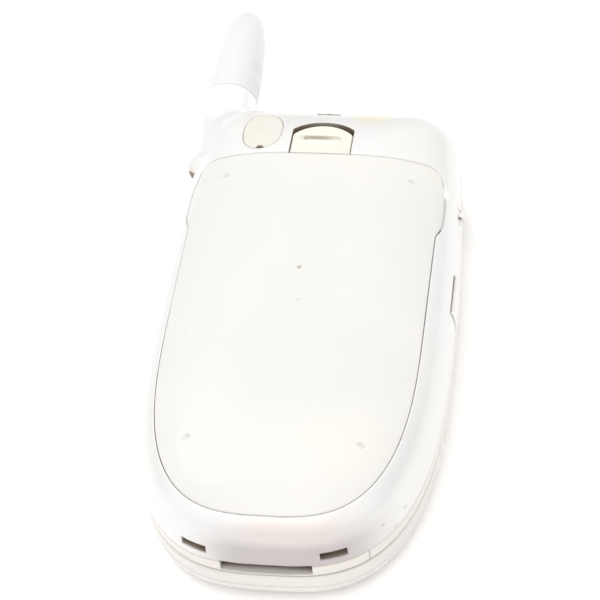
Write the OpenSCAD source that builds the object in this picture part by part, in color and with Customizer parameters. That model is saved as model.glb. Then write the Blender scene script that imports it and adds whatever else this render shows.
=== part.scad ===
// Clamshell mobile phone with a stub antenna, lying closed on its lid.
// Frame: millimetres, +Z up, +Y towards the hinge and the antenna, +X to the right.
// The origin is the middle of the flat outer face of the lid, which rests on the table.

/* [Closed phone] */
// Greatest width of the closed phone
body_w = 46.8; // [46.6:0.1:47.2]
// Distance from the origin to the rounded free end
free_end = 42.3; // [42.2:0.1:42.6]
// Distance from the origin to the hinge end of the main body
hinge_end = 44.1; // [44:0.1:44.3]
// Thickness of the closed phone
thick = 21; // [20.9:0.1:21.2]
// Height of the parting line between front and rear housing
part_z = 9; // [8.95:0.05:9.1]

/* [Lid] */
// Thickness of the lid
lid_t = 6.2; // [6.1:0.05:6.25]
// Air gap between the lid and the main body
lid_gap = 0.4; // [0.4:0.05:0.5]
// Distance from the origin to the hinge end of the lid panel
lid_end = 31.2; // [30.8:0.1:31.3]
// Width of the inner display window
main_win_w = 31; // [29:0.5:32]
// Length of the inner display window
main_win_l = 40; // [36:0.5:41]
// Width of the small outer display window
sub_win_w = 19; // [16:0.5:20]

/* [Hinge] */
// Y of the flip axis
hinge_y = 38; // [37.9:0.05:38]
// Height of the flip axis
hinge_z = 6.4; // [6.35:0.05:6.45]
// Outer radius of the hinge barrel and of the knuckles
barrel_r = 5.5; // [5.3:0.05:5.5]
// Half length of the lid's hinge barrel
barrel_half = 12.7; // [12.4:0.1:12.7]

/* [Battery] */
// Half width of the battery pack at its seam
seam_w = 19.5; // [19.3:0.1:19.6]
// Distance from the origin to the rounded end of the battery pack
seam_end = 39.5; // [39.2:0.1:39.6]
// Distance from the origin to the straight edge of the battery pack
seam_top = 29.4; // [29.2:0.1:29.5]
// Gap all round the battery pack
seam_gap = 0.12; // [0.1:0.01:0.15]
// Height of the battery pocket floor
pocket_z = 14; // [13.95:0.05:14]

/* [Antenna] */
// X of the antenna axis
ant_x = -18.65; // [-18.8:0.05:-18.5]
// Height of the antenna axis
ant_z = 12; // [11.9:0.05:12.1]
// Y of the antenna tip
ant_tip = 71.5; // [66:0.5:74]
// Radius of the antenna at its foot
ant_r = 4.5; // [4.3:0.05:4.55]

/* [Keys] */
// Width of a digit key
key_l = 10.4; // [9:0.1:10.6]
// Height of a digit key
key_w = 5.6; // [5:0.1:5.8]
// Distance between key columns
key_px = 12.5; // [12.4:0.1:12.7]
// Distance between key rows
key_py = 7.8; // [7.7:0.1:8]
// Y of the first row of digits
key_y0 = -4.6; // [-4.8:0.1:-4.4]

/* [Hidden] */
$fn = 48;
W = body_w / 2;
side_k = 0.0017;                 // how fast the sides close in towards the hinge end
y0 = 2;                          // Y of the greatest width
face_z = lid_t + lid_gap;        // front face of the main body, towards the lid
zb = 9.3;                        // height where the back starts to curve in
H = thick - zb;
field_z = face_z + 0.5;          // floor of the keypad field
plate_z = face_z + 1.3;          // back of the front plate
pcb_z = 9.35;
screw_xy = [[17.2, 26.6], [-17.2, 26.6], [10, -34.8], [-10, -34.8]];
lid_screw_xy = [[16.8, 26.2], [-16.8, 26.2], [15.4, -29.5], [-15.4, -29.5]];
jack_y = 22.4;
jack_z = 11.5;
vol_y = 6.2;
plug_x = -10.1;
plug_y = 34.75;
latch_x = -0.25;

// ---------------------------------------------------------------- outlines

// Right half of a plan outline: a three-power curve round the free end, a side that closes in
// slowly, and a round corner at the hinge end
function half_outline(w, a, yc0, yt, r, k) =
    let (ys = yt - r, xs = w - k * pow(ys - yc0, 2))
    concat(
        [for (i = [0:14]) let (t = 90 * pow(1 - i / 14, 1.15)) [w * pow(max(cos(t), 0), 2 / 3), yc0 - a * pow(sin(t), 2 / 3)]],
        [for (i = [1:4]) let (y = yc0 + (ys - yc0) * i / 4) [w - k * pow(y - yc0, 2), y]],
        [for (i = [1:6]) [xs - r + r * cos(15 * i), ys + r * sin(15 * i)]]);

function whole(h) = concat(h, [for (i = [len(h) - 1:-1:1]) [-h[i][0], h[i][1]]]);

// Plan outline of the main body, drawn in by d
function body_outline(d) = whole(half_outline(W - d, free_end + y0 - d, y0,
    hinge_end - 0.6 * d - 0.02 * d * d, max(1.5, 6 - 0.43 * d), side_k));

// Plan outline of the lid panel, drawn in by d
function lid_outline(d) = whole(half_outline(W - d, free_end + y0 - d, y0, lid_end - d, max(1.2, 4.5 - 0.6 * d), side_k));

// Plan outline of the battery seam, drawn in by d
function seam_outline(d) = whole(half_outline(seam_w - d, seam_end - 4 - d, -4, seam_top - d, max(0.6, 2.2 - d), 0));

// How far the back of the phone has curved in at height z
function back_inset(z) = W * (1 - pow(1 - pow(max(z - zb, 0) / H, 3), 1 / 3));

// A closed skin through rings of equal point count
module skin(rings) {
    n = len(rings[0][0]);
    m = len(rings);
    pts = [for (r = rings) for (p = r[0]) [p[0], p[1], r[1]]];
    faces = concat(
        [[for (j = [0:n - 1]) j]],
        [[for (j = [n - 1:-1:0]) (m - 1) * n + j]],
        [for (i = [0:m - 2]) for (j = [0:n - 1]) for (t = [0, 1]) let (a = i * n + j, b = i * n + (j + 1) % n)
            t == 0 ? [a, a + n, b + n] : [a, b + n, b]]);
    polyhedron(points = pts, faces = faces);
}

// Straight-sided block with a plan outline
module prism(pts, z0, z1) { translate([0, 0, z0]) linear_extrude(z1 - z0) polygon(pts); }

// Outer form of the whole back, from the parting line to the top of the battery
module back_form() {
    zs = [part_z, 11, 12.8, 14.2, 15.4, 16.5, 17.5, 18.4, 19.2, 19.8, 20.3, 20.65];
    skin(concat([for (z = zs) [body_outline(back_inset(z)), z]], [[body_outline(18), thick]]));
}

// Box between two corners
module box(a, b) { translate(a) cube([b[0] - a[0], b[1] - a[1], b[2] - a[2]]); }

// Rod along X, Y or Z
module rod_x(x0, x1, y, z, r) { translate([x0, y, z]) rotate([0, 90, 0]) cylinder(r = r, h = x1 - x0); }
module rod_y(y0_, y1, x, z, r) { translate([x, y0_, z]) rotate([-90, 0, 0]) cylinder(r = r, h = y1 - y0_); }
module rod_z(z0, z1, x, y, r) { translate([x, y, z0]) cylinder(r = r, h = z1 - z0); }

// Flat pill shape, l long along X and w wide, between two heights
module pill(x, y, l, w, z0, z1) {
    if (l > w) {
        box([x - (l - w) / 2, y - w / 2, z0], [x + (l - w) / 2, y + w / 2, z1]);
        for (s = [-1, 1]) rod_z(z0, z1, x + s * (l - w) / 2, y, w / 2);
    } else {
        box([x - l / 2, y - (w - l) / 2, z0], [x + l / 2, y + (w - l) / 2, z1]);
        for (s = [-1, 1]) rod_z(z0, z1, x, y + s * (w - l) / 2, l / 2);
    }
}

// Finger tabs on both sides of the battery pack; g is added all round
module grip_tabs(g, z0, z1) {
    for (s = [-1, 1]) translate([0, 0, z0]) linear_extrude(z1 - z0)
        polygon([[s * 18, 15 - g], [s * (seam_w + g), 15 - g], [s * (seam_w + 0.75 + g), 18 - g],
            [s * (seam_w + 0.75 + g), 24.2 + g], [s * (seam_w + g), 26.8 + g], [s * 18, 26.8 + g]]);
}

// ---------------------------------------------------------------- lid

module lid_form() {
    skin([[lid_outline(5.5), 0], [lid_outline(3.6), 0.12], [lid_outline(2.3), 0.5], [lid_outline(1.3), 1.2],
        [lid_outline(0.6), 2.2], [lid_outline(0.2), 3.3], [lid_outline(0.1), 4]]);
}

module lid_screw_posts(r, z0, z1) { for (p = lid_screw_xy) rod_z(z0, z1, p[0], p[1], r); }

module lid_cover() {
    color([0.95, 0.94, 0.92]) difference() {
        lid_form();
        difference() {
            union() { prism(lid_outline(1.9), 2.2, 4.1); prism(lid_outline(3.4), 1.1, 2.3); }
            lid_screw_posts(1.9, 0, 4);
        }
        lid_screw_posts(0.72, 1.6, 4.1);
        box([-sub_win_w / 2, 5, -1], [sub_win_w / 2, 22, 2]);                       // window
        box([-sub_win_w / 2 - 1.2, 3.8, -1], [sub_win_w / 2 + 1.2, 23.2, 0.85]);    // seat of the lens
        box([-barrel_half - 0.1, 29.5, 1.9], [barrel_half + 0.1, 33, 5]);           // room for the barrel's root
    }
}

module lid_bezel() {
    color([0.86, 0.86, 0.88]) difference() {
        union() {
            skin([[lid_outline(0.1), 4], [lid_outline(0.05), 5], [lid_outline(0.2), 5.8], [lid_outline(0.45), lid_t]]);
            rod_x(-barrel_half, barrel_half, hinge_y, hinge_z, barrel_r);
            box([-barrel_half, 29.6, 2.2], [barrel_half, 35, lid_t]);
        }
        prism(lid_outline(1.9), 3.9, 5.1);                                          // room for the display
        box([-main_win_w / 2, -20, 5], [main_win_w / 2, -20 + main_win_l, 7]);      // window
        box([-main_win_w / 2 - 2.6, -22.6, 5.4], [main_win_w / 2 + 2.6, -17.4 + main_win_l, 7]);
        for (i = [-2:2]) pill(i * 2.2, -33, 1, 3.2, 5, 7);                          // sound slots
        lid_screw_posts(0.9, 3, 7);
        lid_screw_posts(1.75, 5.3, 7);
        rod_x(-6.5, barrel_half + 1, hinge_y, hinge_z, 3.2);                        // bore for the hinge module
        rod_x(-barrel_half - 1, -6.4, hinge_y, hinge_z, 1.96);                      // bore for the hollow pin
        box([-6, 28, 3.4], [-1, 36, 4.8]);                                          // way for the flexible cable
    }
}

module outer_lens() {
    color([0.1, 0.11, 0.13]) box([-sub_win_w / 2 - 1.1, 3.9, 0.1], [sub_win_w / 2 + 1.1, 23.1, 0.85]);
}

module outer_display() {
    color([0.35, 0.38, 0.36]) union() {
        box([-12, 2, 1.15], [12, 24, 2.3]);
        box([-8.6, 5.6, 0.95], [8.6, 21.4, 1.15]);
    }
}

module display_frame() {
    color("silver") difference() {
        box([-18.2, -25, 2.35], [18.2, 24, 2.95]);
        box([-6, 16, 2], [-1, 25, 3.2]);
    }
}

module inner_display() {
    color([0.08, 0.09, 0.12]) union() {
        box([-17.4, -22, 3], [17.4, 22.2, 4.6]);
        box([-15, -19.5, 4.6], [15, 19.5, 4.95]);
    }
}

module inner_lens() {
    color([0.05, 0.05, 0.07]) box([-main_win_w / 2 - 2.5, -22.5, 5.4], [main_win_w / 2 + 2.5, -17.5 + main_win_l, 6.1]);
}

module earpiece() {
    color([0.2, 0.2, 0.2]) union() {
        rod_z(2.6, 4.6, 0, -32.2, 5);
        rod_z(4.6, 5.05, 0, -32.2, 3.6);
    }
}

module lid_magnet() { color("gray") box([6.8, -33.5, 2.6], [10.4, -30, 4.4]); }

module lid_bumpers() {
    color([0.6, 0.6, 0.62]) for (p = lid_screw_xy) rod_z(6, p[1] < 0 ? 6.5 : 6.18, p[0], p[1], 1.65);
}

module lid_screws() {
    color("silver") for (p = lid_screw_xy) difference() {
        union() { rod_z(5.3, 5.95, p[0], p[1], 1.5); rod_z(1.9, 5.3, p[0], p[1], 0.7); }
        box([p[0] - 0.9, p[1] - 0.18, 5.65], [p[0] + 0.9, p[1] + 0.18, 6.2]);
        box([p[0] - 0.18, p[1] - 0.9, 5.65], [p[0] + 0.18, p[1] + 0.9, 6.2]);
    }
}

// ---------------------------------------------------------------- hinge

module hinge_case() {
    color("dimgray") difference() {
        rod_x(1, 12.6, hinge_y, hinge_z, 3.15);
        rod_x(2, 6, hinge_y, hinge_z, 2.3);
        rod_x(5.9, 13, hinge_y, hinge_z, 1.56);
    }
}

module hinge_spring() {
    color("silver") for (i = [0:3]) translate([2.5 + i * 0.85, hinge_y, hinge_z]) rotate([0, 90, 0])
        rotate_extrude() translate([1.75, 0]) circle(r = 0.36);
}

module hinge_shaft() { color("silver") rod_x(6.2, 17.4, hinge_y, hinge_z, 1.5); }

module hinge_pin() {
    color("silver") difference() {
        rod_x(-15.8, -7, hinge_y, hinge_z, 1.9);
        rod_x(-16, -6, hinge_y, hinge_z, 1.2);
    }
}

module flex_cable() {
    color([0.85, 0.5, 0.15]) {
        box([-5.6, 22.4, 4.1], [-1.4, 36, 4.3]);
        difference() {
            rod_x(-5.6, -1.4, hinge_y, hinge_z, 2.75);
            rod_x(-6, -1, hinge_y, hinge_z, 2.45);
        }
        rod_x(-5.9, -5.5, hinge_y, hinge_z, 2.75);
        rod_x(-15.7, -5.6, hinge_y, hinge_z, 0.8);
    }
}

module flex_tail() {
    color([0.85, 0.5, 0.15]) {
        box([-16.8, 32.4, 6], [-16, 39, 6.8]);
        box([-16.8, 31.6, 6], [-16, 32.4, 9]);
        box([-15, 22.8, 8.75], [-12, 30.3, 9]);
        box([-16.8, 30.2, 8.75], [-12, 32.4, 9]);
    }
}

// ---------------------------------------------------------------- main body

// Space that the lid's barrel turns in, cut from both housings
module barrel_room() {
    rod_x(-barrel_half - 0.3, barrel_half + 0.3, hinge_y, hinge_z, barrel_r + 0.3);
    box([-barrel_half - 0.3, hinge_y - 4.5, 0], [barrel_half + 0.3, hinge_end + 1, hinge_z + 3.4]);
}

module antenna_boss(r) { rod_y(33, 49.5, ant_x, ant_z, r); }

// Cut-outs that both housings share at the free end and the side
module connector_mouth() { box([-6.6, -44, 7.1], [6.6, -35.2, 9.3]); }

module key_form(x, y, l, w) {
    pill(x, y, l, w, face_z + 0.15, face_z + 1.4);
    pill(x, y, l + 1.1, w + 1.1, face_z + 1.4, face_z + 1.65);
}

function key_xy(c, r) = [-(c - 1) * key_px, key_y0 - r * key_py];

module front_housing() {
    color([0.93, 0.92, 0.9]) difference() {
        union() {
            difference() {
                skin([[body_outline(0.9), face_z], [body_outline(0.4), face_z + 0.3], [body_outline(0.1), face_z + 0.9],
                    [body_outline(0), face_z + 1.7], [body_outline(0), part_z]]);
                difference() {
                    prism(body_outline(1.5), plate_z, part_z + 1);
                    box([-30, 31, 0], [30, 50, 20]);
                    for (p = screw_xy) rod_z(plate_z - 1, 10, p[0], p[1], 1.9);
                }
            }
            for (p = screw_xy) rod_z(plate_z, 12.9, p[0], p[1], 1.9);
            intersection() {
                rod_x(-21.6, 21.6, hinge_y, hinge_z, barrel_r);
                prism(body_outline(0.15), 0, 20);
            }
        }
        barrel_room();
        antenna_boss(4.62);
        connector_mouth();
        intersection() {                                                             // keypad field
            prism(body_outline(3.4), face_z - 1, field_z);
            box([-30, -33.2, 0], [30, 28, 10]);
        }
        for (r = [0:3]) for (c = [0:2]) pill(key_xy(c, r)[0], key_xy(c, r)[1], key_l + 0.4, key_w + 0.4, 5, 9);
        for (s = [-1, 1]) pill(s * 15.2, 14.5, 6.4, 11.4, 5, 9);
        rod_z(5, 9, 0, 14.5, 9.6);
        rod_z(field_z + 0.45, 9, 0, 14.5, 10.4);                                     // room for the ring to rock
        for (p = screw_xy) rod_z(9.2, 13, p[0], p[1], 0.72);
        rod_z(5, 9, -14, -33.2, 0.5);                                                // microphone hole
        rod_x(12, 17.5, hinge_y, hinge_z, 1.52);                                     // seat of the shaft
        rod_x(-17, -12, hinge_y, hinge_z, 1.9);                                      // seat of the hollow pin
        box([-16.95, 31.4, 5.85], [-15.85, 39.1, 8.2]);                              // way for the cable
        box([-16.95, 30, plate_z], [-11.8, 32.5, 10]);
    }
}

// Side key and headset openings in the rear housing
module side_openings() {
    box([20.3, vol_y - 4.1, 10], [25, vol_y + 4.1, 14.4]);
    box([21.65, jack_y - 3.1, 9.9], [25, jack_y + 3.1, 13.9]);
    rod_x(19.5, 21.8, jack_y, jack_z, 1.75);
}

module latch_outline_cut() {
    translate([0, 0, 17]) linear_extrude(5) intersection() {
        translate([latch_x, 30.3]) circle(r = 6.9);
        translate([latch_x - 5, seam_top - 0.3]) square([10, 9.6]);
    }
}

module rear_housing() {
    color([0.9, 0.9, 0.91]) difference() {
        union() {
            difference() {
                back_form();
                prism(seam_outline(0), pocket_z, 30);
                grip_tabs(0.12, pocket_z, 30);
                difference() {                                                       // main cavity
                    prism(body_outline(1.5), part_z - 1, 13);
                    rod_x(-barrel_half - 1.5, barrel_half + 1.5, hinge_y, hinge_z, barrel_r + 1.5);
                    box([-30, 40.6, 0], [-12.6, 50, 20]);
                }
                box([-13.5, 31, 13.4], [13.5, 40.4, 17.2]);                          // cavity under the latch
            }
            antenna_boss(4.6);
            box([-17.5, 34, 9.2], [-12, 42, 12.9]);
        }
        barrel_room();
        rod_x(-21.8, 21.8, hinge_y, hinge_z, barrel_r + 0.02);
        rod_y(43.2, 50, ant_x, ant_z, 2.36);                                          // socket of the antenna
        connector_mouth();
        side_openings();
        latch_outline_cut();
        box([-4.3, seam_top - 0.5, 16.1], [4.3, 31.5, 17.3]);                         // slot of the latch tongue
        pill(plug_x, plug_y, 6.85, 8.95, 18.2, 25);                                    // seat of the socket plug
        rod_z(16.9, 19, plug_x, plug_y, 2.2);
        for (s = [-1, 1]) translate([s * 10.5, -40.6, 11]) rotate([0, 0, s * 24]) cube([4.2, 4.4, 1.3], center = true);
        box([-2.1, 39.9, 16.7], [1.8, 46, 17.6]);                                     // way for a wrist strap,
        box([-2.1, 39.9, 16.7], [1.8, 40.9, 21]);                                     // down and out of the hinge end
        for (p = screw_xy) { rod_z(12, 15, p[0], p[1], 0.95); rod_z(13.2, 15, p[0], p[1], 1.75); }
        box([-9.5, -14, 12.5], [16.5, 3, 15]);                                        // way to the card holder
        box([-5.2, -37.2, 12.5], [5.2, -33.4, 15]);                                   // way for the contacts
    }
}

module keypad_sheet() {
    color([0.75, 0.78, 0.8]) difference() {
        box([-18.4, -31.6, face_z + 2.05], [18.4, 22.5, face_z + 2.5]);
        for (s = [-1, 1]) box([s * 18.4 - 2, -40, 0], [s * 18.4 + 2, -26, 20]);
    }
}

module circuit_board() {
    color([0.1, 0.35, 0.2]) difference() {
        prism(body_outline(2.2), pcb_z, pcb_z + 0.8);
        box([-30, 29.8, 0], [30, 60, 20]);
        for (p = screw_xy) rod_z(0, 20, p[0], p[1], 2.1);
        box([-30, -50, 0], [30, -38.2, 20]);
        box([12.7, jack_y - 2, 0], [30, jack_y + 2, 20]);
    }
}

module shield_can() {
    color("silver") difference() {
        box([-17.5, -6, pcb_z + 0.8], [14.5, 12.5, 12.2]);
        box([-17.2, -5.7, pcb_z], [14.2, 12.2, 11.9]);
    }
}

module loudspeaker() {
    color([0.15, 0.15, 0.16]) difference() {
        rod_z(pcb_z + 0.85, 12.9, 0, 21.5, 6.6);
        rod_z(12.5, 13, 0, 21.5, 5.4);
    }
}

module vibration_motor() {
    color("silver") union() {
        rod_z(pcb_z + 0.85, 12.4, 15.2, -20, 4);
        rod_z(12.4, 12.6, 15.2, -20, 3.4);
    }
}

module backup_cell() { color("silver") rod_z(pcb_z + 0.85, 12, -14, -21, 3.4); }

module sim_holder() {
    color([0.75, 0.75, 0.75]) difference() {
        box([-9.2, -13.7, 12.25], [16.2, 2.7, 13.6]);
        box([-7.6, -12.9, 12.9], [17, 1.9, 13.5]);
        box([-5, -11, 13.4], [12, 0, 14]);
    }
}

module battery_contacts() {
    color([0.8, 0.68, 0.35]) union() {
        box([-5, -37, 10.2], [5, -33.6, 13.4]);
        for (i = [-1:1]) box([i * 3 - 0.6, -36, 13.4], [i * 3 + 0.6, -34.4, 14.1]);
    }
}

module interface_connector() {
    color([0.12, 0.12, 0.13]) difference() {
        box([-6.3, -40.9, 7.25], [6.3, -35.4, 9.2]);
        box([-5.6, -42, 7.7], [5.6, -38, 8.8]);
    }
}

module headset_jack() {
    color([0.15, 0.15, 0.16]) difference() {
        union() {
            box([13, jack_y - 1.75, pcb_z + 0.25], [19.8, jack_y + 1.75, 12.95]);
            rod_x(19.7, 21.55, jack_y, jack_z, 1.6);
        }
        rod_x(14, 22, jack_y, jack_z, 1.25);
    }
}

module side_switch() {
    color([0.2, 0.2, 0.2]) union() {
        box([17.2, vol_y - 3.2, pcb_z + 0.85], [19.4, vol_y + 3.2, 12.8]);
        for (s = [-1, 1]) box([19.4, vol_y + s * 2.2 - 0.7, 11], [20, vol_y + s * 2.2 + 0.7, 12.4]);
    }
}

module microphone() { color([0.3, 0.3, 0.32]) rod_z(plate_z + 0.1, 9.2, -14, -33.2, 1.2); }

module rf_connector() {
    color([0.8, 0.68, 0.35]) difference() {
        union() {
            box([plug_x - 2.6, plug_y - 2.6, 13.45], [plug_x + 2.6, plug_y + 2.6, 14.2]);
            rod_z(14.2, 16.8, plug_x, plug_y, 1.6);
        }
        rod_z(15, 17, plug_x, plug_y, 0.9);
    }
}

module latch_spring() {
    color("silver") for (s = [-1, 1]) for (i = [0:2]) translate([s * 3.6, 38.75 + i * 0.6, 15.9]) rotate([90, 0, 0])
        rotate_extrude() translate([0.7, 0]) circle(r = 0.18);
}

module antenna_cover() {
    len_ = ant_tip - 49.6;
    color([0.94, 0.93, 0.95]) translate([ant_x, 49.6, ant_z]) rotate([-90, 0, 0]) difference() {
        rotate_extrude() polygon([[0, 0], [ant_r - 0.1, 0], [ant_r, 0.3], [ant_r - 0.02, 3], [ant_r - 0.18, 6.2],
            [ant_r - 0.42, 9.6], [ant_r - 0.78, len_ * 0.62], [ant_r - 1.2, len_ * 0.74], [ant_r - 1.75, len_ * 0.85],
            [ant_r - 2.4, len_ * 0.93], [ant_r - 3.2, len_ * 0.98], [0, len_]]);
        cylinder(r = 2.7, h = len_ * 0.72);
    }
}

module antenna_coil() {
    color([0.8, 0.55, 0.3]) translate([ant_x, 0, ant_z]) rotate([-90, 0, 0]) union() {
        translate([0, 0, 51.2]) difference() { cylinder(r = 1.9, h = 13.6); translate([0, 0, -1]) cylinder(r = 1.5, h = 14); }
        for (i = [0:8]) translate([0, 0, 52.2 + 1.4 * i]) rotate_extrude() translate([1.95, 0]) circle(r = 0.3);
    }
}

module antenna_ferrule() {
    color([0.8, 0.68, 0.35]) translate([ant_x, 0, ant_z]) rotate([-90, 0, 0]) difference() {
        union() {
            translate([0, 0, 43.4]) cylinder(r = 2.3, h = 6.1);
            translate([0, 0, 49.5]) cylinder(r = 2.6, h = 1.6);
        }
        translate([0, 0, 43]) cylinder(r = 0.9, h = 9);
    }
}

module body_screws() {
    color("silver") for (p = screw_xy) difference() {
        union() { rod_z(13.25, 13.9, p[0], p[1], 1.5); rod_z(9.5, 13.25, p[0], p[1], 0.7); }
        box([p[0] - 0.9, p[1] - 0.18, 13.6], [p[0] + 0.9, p[1] + 0.18, 14.2]);
        box([p[0] - 0.18, p[1] - 0.9, 13.6], [p[0] + 0.18, p[1] + 0.9, 14.2]);
    }
}

// ---------------------------------------------------------------- battery and covers

module battery_cover() {
    color([0.97, 0.96, 0.94]) difference() {
        intersection() {
            back_form();
            union() {
                prism(seam_outline(seam_gap), pocket_z + 0.25, 30);
                grip_tabs(-0.2, pocket_z + 1.6, 30);
            }
        }
        prism(seam_outline(2.2), pocket_z - 1, 16.8);
        intersection() {                                                             // room for the cell
            prism(seam_outline(3.2), pocket_z - 1, 18.35);
            box([-30, -27, 0], [30, 27.5, 30]);
        }
        box([-22, seam_top - 0.25, 10], [22, 35, 30]);
    }
}

module battery_cell() {
    color([0.3, 0.35, 0.45]) intersection() {
        box([-15.6, -26.4, pocket_z + 0.35], [15.6, 26.2, 18.25]);
        prism(seam_outline(3.5), pocket_z, 19);
    }
}

module battery_terminals() {
    color([0.8, 0.68, 0.35]) union() {
        box([-6, -35.6, 14.6], [6, -30.2, 15.4]);
        for (i = [-1:1]) box([i * 3 - 0.9, -35.5, 14.3], [i * 3 + 0.9, -33.8, 14.6]);
    }
}

module battery_latch() {
    color([0.9, 0.88, 0.84]) union() {
        difference() {
            translate([0, 0, 17.05]) linear_extrude(5) intersection() {
                translate([latch_x, 29.8]) circle(r = 6.3);
                translate([latch_x - 4.8, seam_top + 0.2]) square([9.6, 9]);
            }
            translate([-10, seam_top, 20.75]) rotate([-7.6, 0, 0]) cube([20, 20, 10]);
            translate([latch_x, 33.3, 20.4]) rotate([0, 90, 0]) cylinder(r = 0.55, h = 5.8, center = true);
        }
        box([-6.2, 31.2, 16.3], [6.2, 37.9, 17.1]);
        box([-3.8, seam_top + 0.35, 16.3], [3.8, 31.4, 17.1]);
        for (s = [-1, 1]) box([s * 3.6 - 0.9, 37, 15.1], [s * 3.6 + 0.9, 38.3, 16.4]);
    }
}

module antenna_socket_plug() {
    color([0.88, 0.86, 0.82]) union() {
        difference() {
            pill(plug_x, plug_y, 6.6, 8.7, 18.3, 21);
            translate([-20, plug_y - 4.5, 20.3]) rotate([-7.4, 0, 0]) cube([20, 12, 10]);
            rod_z(19.2, 22, plug_x, plug_y - 4.2, 0.6);                          // pry notch
        }
        rod_z(17.1, 18.4, plug_x, plug_y, 1.9);
    }
}

// Side profile shared by the volume key and the headset cover, between two Y
module side_piece(x0, ya, yb, z0, z1, out) {
    ym = (ya + yb) / 2;
    xs = W - side_k * pow(ym - y0, 2);
    translate([xs, ym, 0]) rotate([0, 0, atan(2 * side_k * (ym - y0))]) translate([0, (yb - ya) / 2, 0])
        rotate([90, 0, 0]) linear_extrude(yb - ya)
            polygon([[x0, z0], [out - 0.12, z0], [out, z0 + 1.1], [out - 0.1, z0 + 2.1],
                [out - 0.42 - 0.6 * max(z1 - 13.7, 0), z1], [x0, z1]]);
}

module volume_key() {
    color([0.9, 0.9, 0.91]) union() {
        side_piece(-2.7, vol_y - 3.8, vol_y + 3.8, 10.3, 14.1, 0.2);
        box([20.2, vol_y - 0.8, 11], [21, vol_y + 0.8, 12.6]);
    }
}

module headset_cover() {
    color([0.85, 0.85, 0.86]) union() {
        side_piece(-0.6, jack_y - 2.8, jack_y + 2.8, 10.2, 13.6, -0.05);
        translate([22.2, jack_y + 1.6, 12.6]) rotate([0, 90, 0]) cylinder(r = 0.62, h = 0.88);
    }
}

// ---------------------------------------------------------------- keys

module digit(c, r) { color([0.85, 0.87, 0.9]) key_form(key_xy(c, r)[0], key_xy(c, r)[1], key_l, key_w); }

module key_1() { digit(0, 0); }
module key_2() { digit(1, 0); }
module key_3() { digit(2, 0); }
module key_4() { digit(0, 1); }
module key_5() { digit(1, 1); }
module key_6() { digit(2, 1); }
module key_7() { digit(0, 2); }
module key_8() { digit(1, 2); }
module key_9() { digit(2, 2); }
module key_star() { digit(0, 3); }
module key_0() { digit(1, 3); }
module key_hash() { digit(2, 3); }

// Call keys each side of the navigation ring
module key_left() { color([0.75, 0.85, 0.78]) key_form(15.2, 14.5, 6, 11); }
module key_right() { color([0.88, 0.76, 0.76]) key_form(-15.2, 14.5, 6, 11); }

module key_nav() {
    color([0.8, 0.81, 0.84]) difference() {
        union() {
            rod_z(face_z + 0.15, face_z + 1.4, 0, 14.5, 9.35);
            rod_z(face_z + 1.4, face_z + 1.65, 0, 14.5, 9.9);
        }
        rod_z(0, 20, 0, 14.5, 4.7);
    }
}

module key_ok() {
    color([0.9, 0.9, 0.92]) rod_z(face_z + 0.15, face_z + 1.6, 0, 14.5, 4.4);
}

lid_cover();
lid_bezel();
outer_lens();
outer_display();
display_frame();
inner_display();
inner_lens();
earpiece();
lid_magnet();
lid_bumpers();
lid_screws();
hinge_case();
hinge_spring();
flex_cable();
hinge_shaft();
hinge_pin();
flex_tail();
front_housing();
rear_housing();
keypad_sheet();
circuit_board();
shield_can();
loudspeaker();
vibration_motor();
backup_cell();
sim_holder();
battery_contacts();
interface_connector();
headset_jack();
side_switch();
microphone();
rf_connector();
latch_spring();
antenna_cover();
antenna_coil();
antenna_ferrule();
body_screws();
battery_cover();
battery_cell();
battery_terminals();
battery_latch();
antenna_socket_plug();
headset_cover();
volume_key();
key_1();
key_2();
key_3();
key_4();
key_5();
key_6();
key_7();
key_8();
key_9();
key_star();
key_0();
key_hash();
key_left();
key_right();
key_nav();
key_ok();
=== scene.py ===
"""Looks of a clamshell phone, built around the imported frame. Lengths in the form functions are
millimetres in the row frame; meshes and positions given to Blender are metres."""

import math

import bpy
import numpy as np
from mathutils import Matrix, Vector


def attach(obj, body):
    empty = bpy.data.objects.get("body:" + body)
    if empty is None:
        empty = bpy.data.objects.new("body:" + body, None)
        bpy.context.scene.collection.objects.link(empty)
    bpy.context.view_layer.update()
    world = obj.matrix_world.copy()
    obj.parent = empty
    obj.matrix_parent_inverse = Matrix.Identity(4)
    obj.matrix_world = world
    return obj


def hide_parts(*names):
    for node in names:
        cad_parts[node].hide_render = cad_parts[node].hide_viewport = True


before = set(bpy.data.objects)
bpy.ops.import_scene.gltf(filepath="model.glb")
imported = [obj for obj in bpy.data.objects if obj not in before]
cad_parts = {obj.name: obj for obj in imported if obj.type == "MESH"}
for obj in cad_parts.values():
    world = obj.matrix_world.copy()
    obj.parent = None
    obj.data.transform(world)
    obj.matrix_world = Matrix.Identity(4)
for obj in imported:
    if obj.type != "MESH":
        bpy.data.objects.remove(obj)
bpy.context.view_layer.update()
scene = bpy.context.scene

# ------------------------------------------------------------------------------- camera

AZ, EL, ROLL = math.radians(12.849377), math.radians(47.951096), math.radians(-7.281076)
DIST, FOCAL = 349.0431, 2247.7331
TARGET = Vector((-1.05951, 5.79796, 12.0))

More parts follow.
